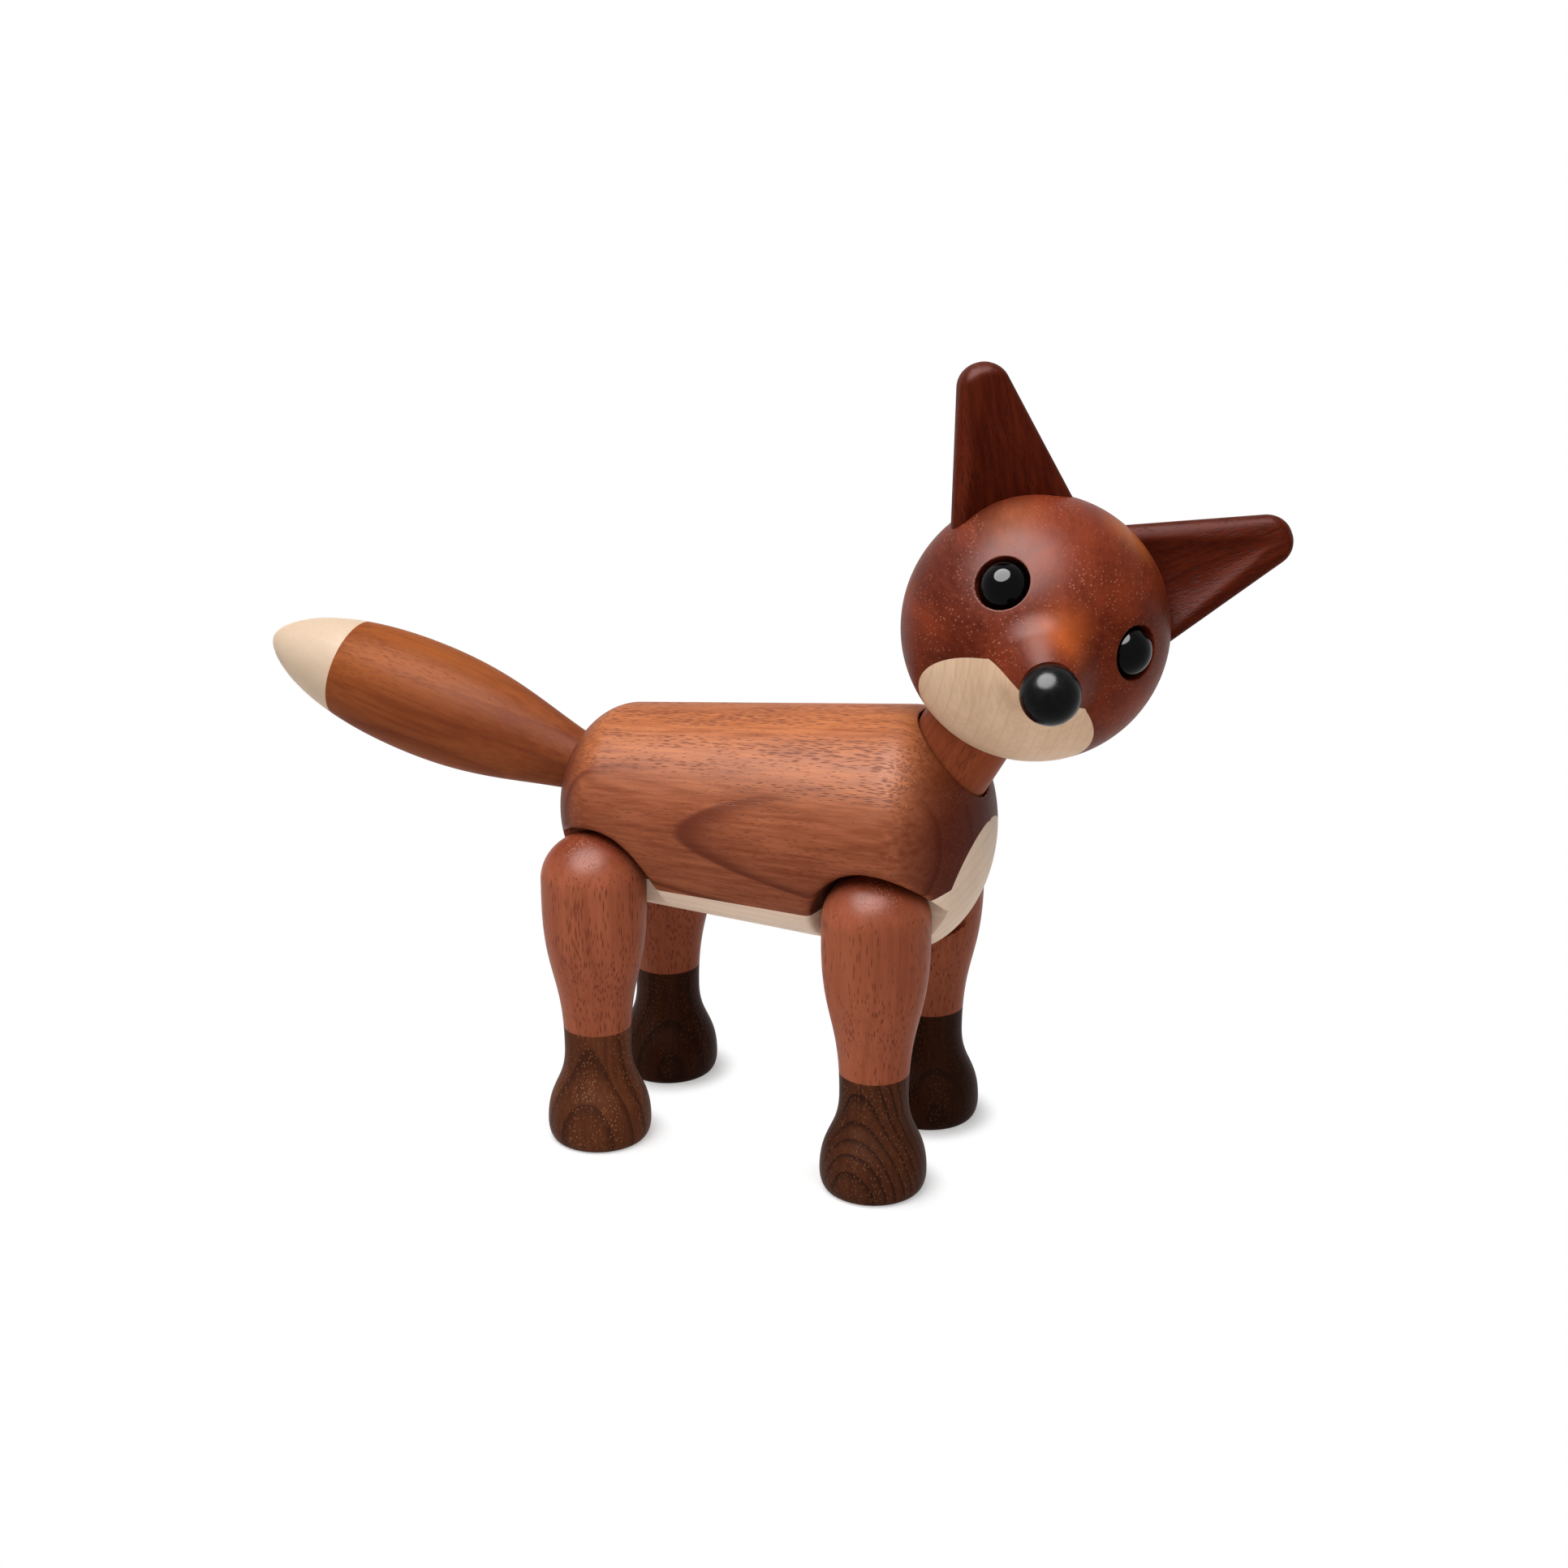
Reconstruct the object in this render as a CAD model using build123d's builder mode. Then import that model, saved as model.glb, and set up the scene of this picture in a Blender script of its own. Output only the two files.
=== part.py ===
# Turned wooden fox that stands on four swinging legs and turns its head
import os
from math import atan, cos, degrees, radians, sin, tan

from build123d import *

os.makedirs("parts", exist_ok=True)

# Driving dimensions in millimetres and degrees
# X points forward, Y to the fox's left and Z up, from the floor midway between the feet

# Clearances
glue_gap = 0.03
running_gap = 0.06
hip_gap = 0.3
socket_gap = 0.25
thrust_gap = 0.15

# Stance
track = 30.4

# Feet and legs, one turned profile that is cut at the ankle
sole_radius = 8.0
foot_radius = 9.35
foot_widest = 3.2
ankle_radius = 6.0
ankle_waist = 17.5
foot_height = 21.7
thigh_radius = 9.3
thigh_drop = 7.0
crown_drop = 3.4
crown_rise = 5.0

# Hips
hip_height = 53.0
pocket_floor = 10.5
pocket_drop = 7.0
pocket_half_width = 11.5
pocket_half_height = 13.0
pocket_edge = 1.5
notch_radius = 15.0
hip_dowel_radius = 2.0
hip_dowel_in_leg = 7.0
hip_dowel_in_torso = 5.2
groove_inset = 2.6
groove_radius = 1.4
groove_play = 0.1
keeper_radius = 0.75
keeper_reach = 2.4

# Ankle dowels
ankle_dowel_radius = 2.0
ankle_dowel_depth = 7.0

# Torso, turned about an axis that rises a little towards the chest
rear_overhang = 11.0
front_overhang = 15.1
torso_lift = 6.2
torso_pitch = 1.6
torso_length = 78.9
torso_rear_radius = 17.7
torso_front_radius = 21.3
torso_rear_cap = 12.1
torso_front_cap = 15.3
cap_fullness = 0.55

# Belly inlay: flat along the belly, a step up at the front legs and a steep bib
belly_drop = 10.3
belly_step_behind = 1.5
bib_corner_ahead = 12.0
bib_corner_rise = 6.4
bib_slope = 72.5

# Neck and head
head_overhang = 6.4
head_rise = 39.3
head_radius = 22.0
neck_tilt = 60.0
head_turn = -69.7
face_drop = 24.7
neck_radius = 8.0
neck_edge = 0.6
socket_depth = 33.0
screw_radius = 2.0
screw_in_head = 14.0
screw_head_radius = 3.8
screw_head_height = 2.6
washer_radius = 4.2
washer_thickness = 1.0
web_thickness = 11.0
counterbore_radius = 4.6

# Snout, nose and chin, measured along the face from the head's centre
snout_reach = 28.0
snout_tip_radius = 4.5
snout_half_angle = 25.7
snout_fillet = 7.0
nose_radius = 4.75
nose_proud = 2.4
chin_drop = 2.4
chin_corner = 20.2
chin_slope = 47.0

# Eyes
eye_spread = 37.4
eye_lift = 22.3
eye_radius = 4.2
eye_hole_radius = 4.45
eye_sink = 2.6

# Pegs of the nose and the eyes
peg_radius = 1.5
peg_length = 4.0

# Ears
ear_lean_out = 40.0
ear_lean_back = 6.3
ear_base_out = 12.9
ear_base_up = 15.1
ear_base_back = 2.2
ear_toe_in = 14.0
ear_width = 20.2
ear_height = 24.2
ear_tip_radius = 4.3
ear_tip_shift = 1.1
ear_thickness = 6.0
ear_edge = 1.8
ear_foot = 7.3
scoop_depth = 2.6
scoop_tilt = 31.0
scoop_stop = 2.5
ear_dowel_radius = 1.2
ear_dowel_in_ear = 7.0
ear_dowel_in_head = 8.0

# Tail
tail_inset = 0.4
tail_lift = 6.5
tail_rise = 15.2
tail_length = 65.0
tail_root_radius = 5.5
tail_root_slope = 0.21
tail_root_lead = 10.5
tail_radius = 10.6
tail_widest = 32.0
tail_swell_lead = 14.0
tail_end_hold = 0.76
tail_end_turn = 0.91
tail_end_fullness = 0.36
tail_tip_length = 17.5
tail_dowel_radius = 2.5
tail_dowel_depth = 12.0
tip_dowel_radius = 2.0
tip_dowel_depth = 8.0

# Places worked out from the dimensions
wheelbase = torso_length - rear_overhang - front_overhang
leg_top = hip_height + crown_rise
crown_start = hip_height - crown_drop
thigh_start = hip_height - thigh_drop
pocket_height = hip_height - pocket_drop
torso_rear_x = -wheelbase / 2 - rear_overhang
torso_front_x = torso_rear_x + torso_length
torso_rear_height = hip_height + torso_lift
belly_height = torso_rear_height - belly_drop
bib_corner_x = wheelbase / 2 + bib_corner_ahead
bib_corner_height = belly_height + bib_corner_rise
belly_step_x = wheelbase / 2 - belly_step_behind
head_x = torso_front_x + head_overhang
head_height = torso_rear_height + head_rise
nose_reach = snout_reach + nose_proud
tail_x = torso_rear_x + tail_inset
tail_height = torso_rear_height + tail_lift

# Directions and planes
origin = (0, 0, 0)
reach = 2 * torso_length
torso_plane = Plane(
    origin=(torso_rear_x, 0, torso_rear_height),
    x_dir=(cos(radians(torso_pitch)), 0, sin(radians(torso_pitch))),
    z_dir=(0, -1, 0),
)
torso_axis = Axis(torso_plane.origin, torso_plane.x_dir)

head_centre = Vector(head_x, 0, head_height)
neck_dir = Vector(cos(radians(neck_tilt)), 0, sin(radians(neck_tilt)))
neck_turn_axis = Axis(origin, neck_dir)


def turned_head(direction):
    """A direction on the forward-facing head, after the face drops and the neck turns"""
    return Vector(*direction).rotate(Axis.Y, face_drop).rotate(neck_turn_axis, head_turn)


face_dir = turned_head((1, 0, 0))
left_dir = turned_head((0, 1, 0))
crown_dir = turned_head((0, 0, 1))
head_side = Plane(origin=head_centre, x_dir=face_dir, z_dir=left_dir * -1)
face_axis = Axis(head_centre, face_dir)


def on_head(forward, left, up):
    """The direction on the turned head with these three shares"""
    return face_dir * forward + left_dir * left + crown_dir * up


def neck_plane(distance):
    """The plane square to the neck at this distance below the head's centre"""
    return Plane(origin=head_centre - neck_dir * distance, x_dir=(0, 1, 0), z_dir=neck_dir)


def save(piece, name):
    """Label one finished piece and write it out"""
    piece.part.label = name
    export_step(piece.part, f"parts/{name}.step")


# Legs: each is one of front or rear, and left or right
legs = {
    "front_right": (wheelbase / 2, -1),
    "front_left": (wheelbase / 2, 1),
    "rear_right": (-wheelbase / 2, -1),
    "rear_left": (-wheelbase / 2, 1),
}
groove_width = 2 * (keeper_radius + groove_play)
keeper_shift = groove_radius + groove_play + keeper_radius
keeper_top = hip_height + keeper_reach
keeper_inset = pocket_floor - groove_inset
keepers = [(leg_x - keeper_shift, side * keeper_inset) for leg_x, side in legs.values()]
hip_face = pocket_floor + hip_gap


# Torso blank, with its pockets, before the belly is parted from it
flank_slope = (torso_front_radius - torso_rear_radius) / (torso_length - torso_rear_cap - torso_front_cap)
rear_lead = cap_fullness * torso_rear_cap
front_lead = cap_fullness * torso_front_cap
front_cap_x = torso_length - torso_front_cap

with BuildPart() as barrel:
    with BuildSketch(torso_plane):
        with BuildLine():
            rear_cap = Bezier(
                (0, 0),
                (0, cap_fullness * torso_rear_radius),
                (torso_rear_cap - rear_lead, torso_rear_radius - flank_slope * rear_lead),
                (torso_rear_cap, torso_rear_radius),
            )
            flank = Line(rear_cap @ 1, (front_cap_x, torso_front_radius))
            front_cap = Bezier(
                flank @ 1,
                (front_cap_x + front_lead, torso_front_radius + flank_slope * front_lead),
                (torso_length, cap_fullness * torso_front_radius),
                (torso_length, 0),
            )
            Line(front_cap @ 1, rear_cap @ 0)
        make_face()
    revolve(axis=torso_axis)

with BuildPart() as blank:
    add(barrel.part)
    for leg_x, side in legs.values():
        with BuildSketch(Plane.XZ.offset(-side * pocket_floor)):
            with Locations((leg_x, pocket_height)):
                Ellipse(pocket_half_width, pocket_half_height)
        extrude(amount=-side * track, mode=Mode.SUBTRACT)
    floors = blank.faces().filter_by(Axis.Y)
    walls = blank.faces().filter_by(GeomType.EXTRUSION)
    fillet(walls.edges() - floors.edges(), pocket_edge)

bib_top_x = bib_corner_x + reach * cos(radians(bib_slope))
bib_top_height = bib_corner_height + reach * sin(radians(bib_slope))
with BuildSketch(Plane.XZ) as belly_side:
    with BuildLine():
        Polyline(
            (-reach, belly_height),
            (belly_step_x, belly_height),
            (bib_corner_x, bib_corner_height),
            (bib_top_x, bib_top_height),
            (reach, bib_top_height),
            (reach, -reach),
            (-reach, -reach),
            close=True,
        )
    make_face()

with BuildPart() as belly_inlay:
    add(blank.part)
    extrude(belly_side.sketch, amount=reach, both=True, mode=Mode.INTERSECT)
    with BuildSketch(Plane.XY.offset(keeper_top)):
        with Locations(keepers):
            Circle(keeper_radius + glue_gap)
    extrude(amount=-2 * keeper_reach - glue_gap, mode=Mode.SUBTRACT)
save(belly_inlay, "belly_inlay")

# Tail: a turned root and a pale tip, cut from one profile
tail_dir = Vector(-cos(radians(tail_rise)), 0, sin(radians(tail_rise)))
tail_plane = Plane(origin=(tail_x, 0, tail_height), x_dir=tail_dir, z_dir=(0, 1, 0))
tail_axis = Axis(tail_plane.origin, tail_dir)
tail_joint = tail_length - tail_tip_length
tail_overlap = tail_root_radius
tail_end = tail_length - tail_widest


def tail_cut(distance):
    """The plane square to the tail at this distance from its root, facing the tip"""
    return Plane(origin=tail_plane.origin + tail_dir * distance, x_dir=(0, 1, 0), z_dir=tail_dir)


with BuildPart() as tail_form:
    with BuildSketch(tail_plane):
        with BuildLine():
            root_line = Line(
                (-tail_overlap, tail_root_radius - tail_root_slope * tail_overlap),
                (0, tail_root_radius),
            )
            swell = Bezier(
                root_line @ 1,
                (tail_root_lead, tail_root_radius + tail_root_slope * tail_root_lead),
                (tail_widest - tail_swell_lead, tail_radius),
                (tail_widest, tail_radius),
            )
            Bezier(
                swell @ 1,
                (tail_widest + tail_end_hold * tail_end, tail_radius),
                (tail_widest + tail_end_turn * tail_end, tail_end_fullness * tail_radius),
                (tail_length, 0),
            )
            Polyline((tail_length, 0), (-tail_overlap, 0), root_line @ 0)
        make_face()
    revolve(axis=tail_axis)
    add(barrel.part, mode=Mode.SUBTRACT)

with BuildPart() as tail:
    add(tail_form.part)
    split(bisect_by=tail_cut(tail_joint), keep=Keep.BOTTOM)
    with BuildSketch(tail_cut(0)):
        Circle(tail_dowel_radius + glue_gap)
    extrude(amount=tail_dowel_depth, mode=Mode.SUBTRACT)
    with BuildSketch(tail_cut(0)):
        Circle(tail_dowel_radius + glue_gap)
    extrude(amount=-tail_overlap, mode=Mode.SUBTRACT)
    with BuildSketch(tail_cut(tail_joint)):
        Circle(tip_dowel_radius + glue_gap)
    extrude(amount=-tip_dowel_depth, mode=Mode.SUBTRACT)
save(tail, "tail")

with BuildPart() as tail_tip:
    add(tail_form.part)
    split(bisect_by=tail_cut(tail_joint), keep=Keep.TOP)
    with BuildSketch(tail_cut(tail_joint)):
        Circle(tip_dowel_radius + glue_gap)
    extrude(amount=tip_dowel_depth, mode=Mode.SUBTRACT)
save(tail_tip, "tail_tip")

with BuildPart() as tail_dowel:
    with BuildSketch(tail_cut(-tail_dowel_depth)):
        Circle(tail_dowel_radius)
    extrude(amount=2 * tail_dowel_depth)
save(tail_dowel, "tail_dowel")

with BuildPart() as tail_tip_dowel:
    with BuildSketch(tail_cut(tail_joint - tip_dowel_depth)):
        Circle(tip_dowel_radius)
    extrude(amount=2 * tip_dowel_depth)
save(tail_tip_dowel, "tail_tip_dowel")

# Torso: the blank above the belly, bored for the legs, the neck and the tail
counterbore_floor = socket_depth + web_thickness

with BuildPart() as torso:
    add(blank.part)
    extrude(belly_side.sketch, amount=reach, both=True, mode=Mode.SUBTRACT)
    for leg_x, side in legs.values():
        with BuildSketch(Plane.XZ.offset(-side * pocket_floor)):
            with Locations((leg_x, hip_height)):
                Circle(hip_dowel_radius + running_gap)
        extrude(amount=side * (hip_dowel_in_torso + thrust_gap), mode=Mode.SUBTRACT)
    with BuildSketch(Plane.XY.offset(keeper_top)):
        with Locations(keepers):
            Circle(keeper_radius + glue_gap)
    extrude(amount=-keeper_top, mode=Mode.SUBTRACT)
    with BuildSketch(neck_plane(socket_depth)):
        Circle(neck_radius + socket_gap)
    extrude(amount=socket_depth, mode=Mode.SUBTRACT)
    with BuildSketch(neck_plane(socket_depth)):
        Circle(screw_radius + running_gap)
    extrude(amount=-web_thickness, mode=Mode.SUBTRACT)
    with BuildSketch(neck_plane(counterbore_floor)):
        Circle(counterbore_radius)
    extrude(amount=-reach, mode=Mode.SUBTRACT)
    with BuildSketch(tail_cut(-tail_dowel_depth)):
        Circle(tail_dowel_radius + glue_gap)
    extrude(amount=2 * tail_dowel_depth, mode=Mode.SUBTRACT)
save(torso, "torso")

# Neck, its screw and its washer
neck_foot = socket_depth - thrust_gap

with BuildPart() as neck:
    with BuildSketch(neck_plane(neck_foot)):
        Circle(neck_radius)
    extrude(amount=neck_foot - head_radius / 2)
    chamfer(neck.edges().sort_by(neck_turn_axis)[0], neck_edge)
    with Locations(head_centre):
        Sphere(head_radius, mode=Mode.SUBTRACT)
    with BuildSketch(neck_plane(neck_foot)):
        Circle(screw_radius + glue_gap)
    extrude(amount=neck_foot, mode=Mode.SUBTRACT)
save(neck, "neck")

with BuildPart() as neck_washer:
    with BuildSketch(neck_plane(counterbore_floor)):
        Circle(washer_radius)
        Circle(screw_radius + running_gap, mode=Mode.SUBTRACT)
    extrude(amount=-washer_thickness)
save(neck_washer, "neck_washer")

screw_seat = counterbore_floor + washer_thickness + thrust_gap
screw_end = head_radius - screw_in_head
with BuildPart() as neck_screw:
    with BuildSketch(neck_plane(screw_seat)):
        Circle(screw_radius)
    extrude(amount=screw_seat - screw_end)
    with BuildSketch(neck_plane(screw_seat)):
        Circle(screw_head_radius)
    extrude(amount=-screw_head_height)
    fillet(neck_screw.edges().sort_by(neck_turn_axis)[0], screw_head_height / 2)
save(neck_screw, "neck_screw")

# Head: a ball with a filleted snout, parted along two flat cuts for the chin
snout_root_radius = snout_tip_radius + snout_reach * tan(radians(snout_half_angle))
with BuildPart() as head_form:
    with BuildSketch(head_side) as head_profile:
        Circle(head_radius)
        Polygon(
            (0, snout_root_radius),
            (0, -snout_root_radius),
            (snout_reach, -snout_tip_radius),
            (snout_reach, snout_tip_radius),
            align=None,
        )
        meets = head_profile.vertices().filter_by_position(
            Axis.X, head_radius / 2, snout_reach - snout_tip_radius / 2
        )
        fillet(meets, snout_fillet)
        Rectangle(2 * reach, reach, align=(Align.CENTER, Align.MIN), mode=Mode.INTERSECT)
    revolve(axis=face_axis)

with BuildSketch(head_side) as chin_side:
    with BuildLine():
        Polyline(
            (chin_corner, -chin_drop),
            (chin_corner + reach, -chin_drop),
            (chin_corner + reach, -chin_drop - reach),
            (
                chin_corner - reach * cos(radians(chin_slope)),
                -chin_drop - reach * sin(radians(chin_slope)),
            ),
            close=True,
        )
    make_face()

tip_plane = Plane(origin=head_centre + face_dir * snout_reach, x_dir=left_dir, z_dir=face_dir)

with BuildPart() as chin_inlay:
    add(head_form.part)
    extrude(chin_side.sketch, amount=reach, both=True, mode=Mode.INTERSECT)
save(chin_inlay, "chin_inlay")

# Eyes: beads on pegs
eye_flat = cos(radians(eye_lift))
eye_forward = cos(radians(eye_spread)) * eye_flat
eye_aside = sin(radians(eye_spread)) * eye_flat
eye_up = sin(radians(eye_lift))
eye_centre = head_radius - eye_sink
eye_floor = eye_centre - eye_radius - glue_gap
eyes = {"right": on_head(eye_forward, -eye_aside, eye_up), "left": on_head(eye_forward, eye_aside, eye_up)}


def eye_plane(direction, distance):
    """The plane square to an eye's own direction at this distance from the head's centre"""
    return Plane(origin=head_centre + direction * distance, x_dir=crown_dir, z_dir=direction)


for side_name, eye_dir in eyes.items():
    with BuildPart() as eye:
        with Locations(head_centre + eye_dir * eye_centre):
            Sphere(eye_radius)
        with BuildSketch(eye_plane(eye_dir, eye_floor - peg_length)):
            Circle(peg_radius)
        extrude(amount=peg_length + eye_radius)
    save(eye, f"eye_{side_name}")

# Nose: a ball on a peg, flat where it sits on the snout
with BuildPart() as nose:
    with Locations(head_centre + face_dir * nose_reach):
        Sphere(nose_radius)
    split(bisect_by=tip_plane, keep=Keep.TOP)
    with BuildSketch(tip_plane):
        Circle(peg_radius)
    extrude(amount=-peg_length)
save(nose, "nose")

# Ears: the left one is shaped, the right one is its mirror image
ear_up = on_head(
    -sin(radians(ear_lean_back)),
    cos(radians(ear_lean_back)) * sin(radians(ear_lean_out)),
    cos(radians(ear_lean_back)) * cos(radians(ear_lean_out)),
)
ear_across = on_head(
    tan(radians(ear_toe_in)), cos(radians(ear_lean_out)), -sin(radians(ear_lean_out))
)
ear_facing = ear_across.cross(ear_up).normalized()
ear_base = head_centre + on_head(-ear_base_back, ear_base_out, ear_base_up)
ear_plane = Plane(origin=ear_base, x_dir=ear_up.cross(ear_facing), z_dir=ear_facing)
ear_tip_height = ear_height - ear_tip_radius
ear_flare = ear_foot * (ear_width / 2 - ear_tip_radius) / ear_tip_height

scoop_length = ear_height - scoop_stop
scoop_spread = scoop_tilt + degrees(atan(scoop_depth / scoop_length))
scoop_run = 2 * ear_height
scoop_apex = ear_base + ear_plane.x_dir * ear_tip_shift + ear_facing * (ear_thickness / 2)
scoop_apex += ear_up * scoop_length
scoop_dir = ear_up * cos(radians(scoop_tilt)) - ear_facing * sin(radians(scoop_tilt))
scoop_plane = Plane(origin=scoop_apex - scoop_dir * scoop_run, x_dir=ear_plane.x_dir, z_dir=scoop_dir)
dowel_shift = scoop_depth / 2
ear_dowel_origin = ear_base - ear_facing * dowel_shift
ear_dowel_plane = Plane(origin=ear_dowel_origin, x_dir=ear_plane.x_dir, z_dir=ear_up)

with BuildPart() as ear_left:
    with BuildSketch(ear_plane.offset(-ear_thickness / 2)) as ear_face:
        half_base = ear_width / 2 + ear_flare
        base_line = Edge.make_line((-half_base, -ear_foot, 0), (half_base, -ear_foot, 0))
        with Locations((ear_tip_shift, ear_tip_height)):
            Circle(ear_tip_radius)
        make_hull(ear_face.edges() + [base_line])
    extrude(amount=ear_thickness)
    fillet(ear_left.edges().filter_by(ear_plane), ear_edge)
    with Locations(scoop_plane):
        Cone(
            scoop_run * tan(radians(scoop_spread)),
            0,
            scoop_run,
            align=(Align.CENTER, Align.CENTER, Align.MIN),
            mode=Mode.SUBTRACT,
        )
    with Locations(head_centre):
        Sphere(head_radius, mode=Mode.SUBTRACT)
    with BuildSketch(ear_dowel_plane):
        Circle(ear_dowel_radius + glue_gap)
    extrude(amount=ear_dowel_in_ear, mode=Mode.SUBTRACT)
save(ear_left, "ear_left")

with BuildPart() as ear_right:
    mirror(ear_left.part, about=head_side)
save(ear_right, "ear_right")

with BuildPart() as ear_dowel_left:
    with BuildSketch(ear_dowel_plane.offset(-ear_dowel_in_head)):
        Circle(ear_dowel_radius)
    extrude(amount=ear_dowel_in_head + ear_dowel_in_ear)
save(ear_dowel_left, "ear_dowel_left")

with BuildPart() as ear_dowel_right:
    mirror(ear_dowel_left.part, about=head_side)
save(ear_dowel_right, "ear_dowel_right")

with BuildPart() as ear_bore:
    with BuildSketch(ear_dowel_plane.offset(-ear_dowel_in_head)):
        Circle(ear_dowel_radius + glue_gap)
    extrude(amount=ear_dowel_in_head + ear_dowel_in_ear)
    mirror(about=head_side)

with BuildPart() as head:
    add(head_form.part)
    extrude(chin_side.sketch, amount=reach, both=True, mode=Mode.SUBTRACT)
    for eye_dir in eyes.values():
        with BuildSketch(eye_plane(eye_dir, eye_floor)):
            Circle(eye_hole_radius)
        extrude(amount=head_radius, mode=Mode.SUBTRACT)
        with BuildSketch(eye_plane(eye_dir, eye_floor)):
            Circle(peg_radius + glue_gap)
        extrude(amount=-peg_length, mode=Mode.SUBTRACT)
    with BuildSketch(tip_plane):
        Circle(peg_radius + glue_gap)
    extrude(amount=-peg_length, mode=Mode.SUBTRACT)
    with BuildSketch(neck_plane(head_radius + neck_radius)):
        Circle(screw_radius + glue_gap)
    extrude(amount=neck_radius + screw_in_head, mode=Mode.SUBTRACT)
    add(ear_bore.part, mode=Mode.SUBTRACT)
save(head, "head")

# Legs with their feet, dowels and keepers
crown_height = leg_top - crown_start
calf_middle = (ankle_waist + thigh_start) / 2
heel_middle = (foot_widest + ankle_waist) / 2

for leg_name, (leg_x, side) in legs.items():
    leg_y = side * track / 2
    leg_plane = Plane(origin=(leg_x, leg_y, 0), x_dir=(1, 0, 0), z_dir=(0, -1, 0))
    ankle_plane = Plane(origin=(leg_x, leg_y, foot_height))
    hip_face_plane = Plane.XZ.offset(-side * hip_face)
    groove_edge = keeper_inset + groove_width / 2

    with BuildPart() as leg_form:
        with BuildSketch(leg_plane):
            with BuildLine():
                sole = Line((0, 0), (sole_radius, 0))
                toe = EllipticalCenterArc(
                    (sole_radius, foot_widest), foot_radius - sole_radius, foot_widest, start_angle=270
                )
                heel = Bezier(
                    toe @ 1, (foot_radius, heel_middle), (ankle_radius, heel_middle), (ankle_radius, ankle_waist)
                )
                calf = Bezier(
                    heel @ 1, (ankle_radius, calf_middle), (thigh_radius, calf_middle), (thigh_radius, thigh_start)
                )
                thigh = Line(calf @ 1, (thigh_radius, crown_start))
                crown = EllipticalCenterArc((0, crown_start), thigh_radius, crown_height)
                Line(crown @ 1, sole @ 0)
            make_face()
        revolve(axis=Axis((leg_x, leg_y, 0), (0, 0, 1)))

    with BuildPart() as foot:
        add(leg_form.part)
        split(bisect_by=ankle_plane, keep=Keep.BOTTOM)
        with BuildSketch(ankle_plane):
            Circle(ankle_dowel_radius + glue_gap)
        extrude(amount=-ankle_dowel_depth, mode=Mode.SUBTRACT)
    save(foot, f"foot_{leg_name}")

    with BuildPart() as leg:
        add(leg_form.part)
        split(bisect_by=ankle_plane, keep=Keep.TOP)
        with BuildSketch(hip_face_plane):
            with Locations((leg_x, hip_height)):
                Circle(notch_radius)
        extrude(amount=side * track, mode=Mode.SUBTRACT)
        with BuildSketch(hip_face_plane):
            with Locations((leg_x, hip_height)):
                Circle(hip_dowel_radius + glue_gap)
        extrude(amount=-side * hip_dowel_in_leg, mode=Mode.SUBTRACT)
        with BuildSketch(ankle_plane):
            Circle(ankle_dowel_radius + glue_gap)
        extrude(amount=ankle_dowel_depth, mode=Mode.SUBTRACT)
    save(leg, f"leg_{leg_name}")

    with BuildPart() as ankle_dowel:
        with BuildSketch(ankle_plane.offset(-ankle_dowel_depth)):
            Circle(ankle_dowel_radius)
        extrude(amount=2 * ankle_dowel_depth)
    save(ankle_dowel, f"ankle_dowel_{leg_name}")

    with BuildPart() as hip_dowel:
        with BuildSketch(Plane.XZ.offset(-side * (hip_face + hip_dowel_in_leg))):
            with Locations((leg_x, hip_height)):
                Circle(hip_dowel_radius)
        extrude(amount=side * (hip_dowel_in_leg + hip_gap + hip_dowel_in_torso))
        with BuildSketch(Plane.XZ.offset(-side * groove_edge)):
            with Locations((leg_x, hip_height)):
                Circle(2 * hip_dowel_radius)
                Circle(groove_radius, mode=Mode.SUBTRACT)
        extrude(amount=side * groove_width, mode=Mode.SUBTRACT)
    save(hip_dowel, f"hip_dowel_{leg_name}")

    with BuildPart() as hip_keeper:
        with BuildSketch(Plane.XY.offset(keeper_top)):
            with Locations((leg_x - keeper_shift, side * keeper_inset)):
                Circle(keeper_radius)
        extrude(amount=-2 * keeper_reach)
    save(hip_keeper, f"hip_keeper_{leg_name}")
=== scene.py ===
import math

import bpy
import numpy as np
from mathutils import Matrix


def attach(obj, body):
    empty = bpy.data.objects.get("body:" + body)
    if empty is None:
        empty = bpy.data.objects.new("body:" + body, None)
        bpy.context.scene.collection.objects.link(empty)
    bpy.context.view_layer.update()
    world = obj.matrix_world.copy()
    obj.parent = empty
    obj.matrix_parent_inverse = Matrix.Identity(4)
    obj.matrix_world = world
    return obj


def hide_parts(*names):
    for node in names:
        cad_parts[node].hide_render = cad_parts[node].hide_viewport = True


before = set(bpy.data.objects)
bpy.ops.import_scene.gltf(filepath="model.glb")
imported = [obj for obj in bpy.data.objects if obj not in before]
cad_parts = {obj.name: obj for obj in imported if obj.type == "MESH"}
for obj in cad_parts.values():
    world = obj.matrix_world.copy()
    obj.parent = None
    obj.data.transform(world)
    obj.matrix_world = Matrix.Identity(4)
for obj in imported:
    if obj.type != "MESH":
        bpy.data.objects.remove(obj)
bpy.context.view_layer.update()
print("frame loaded with", len(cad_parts), "solids")

mm = 0.001
tiny = 1e-6
forward, leftward, upright = np.eye(3)
legNames = ["front_right", "front_left", "rear_right", "rear_left"]
sides = (("right", -1), ("left", 1))
crispAngle = 38.0  # degrees between faces, past which an edge is drawn crisp
poleShare = 0.9995  # a parted form ends where its cut comes this near to its surface


# small geometry tools, all in millimetres

def unit(v):
    v = np.asarray(v, float)
    return v / np.linalg.norm(v)


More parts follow.
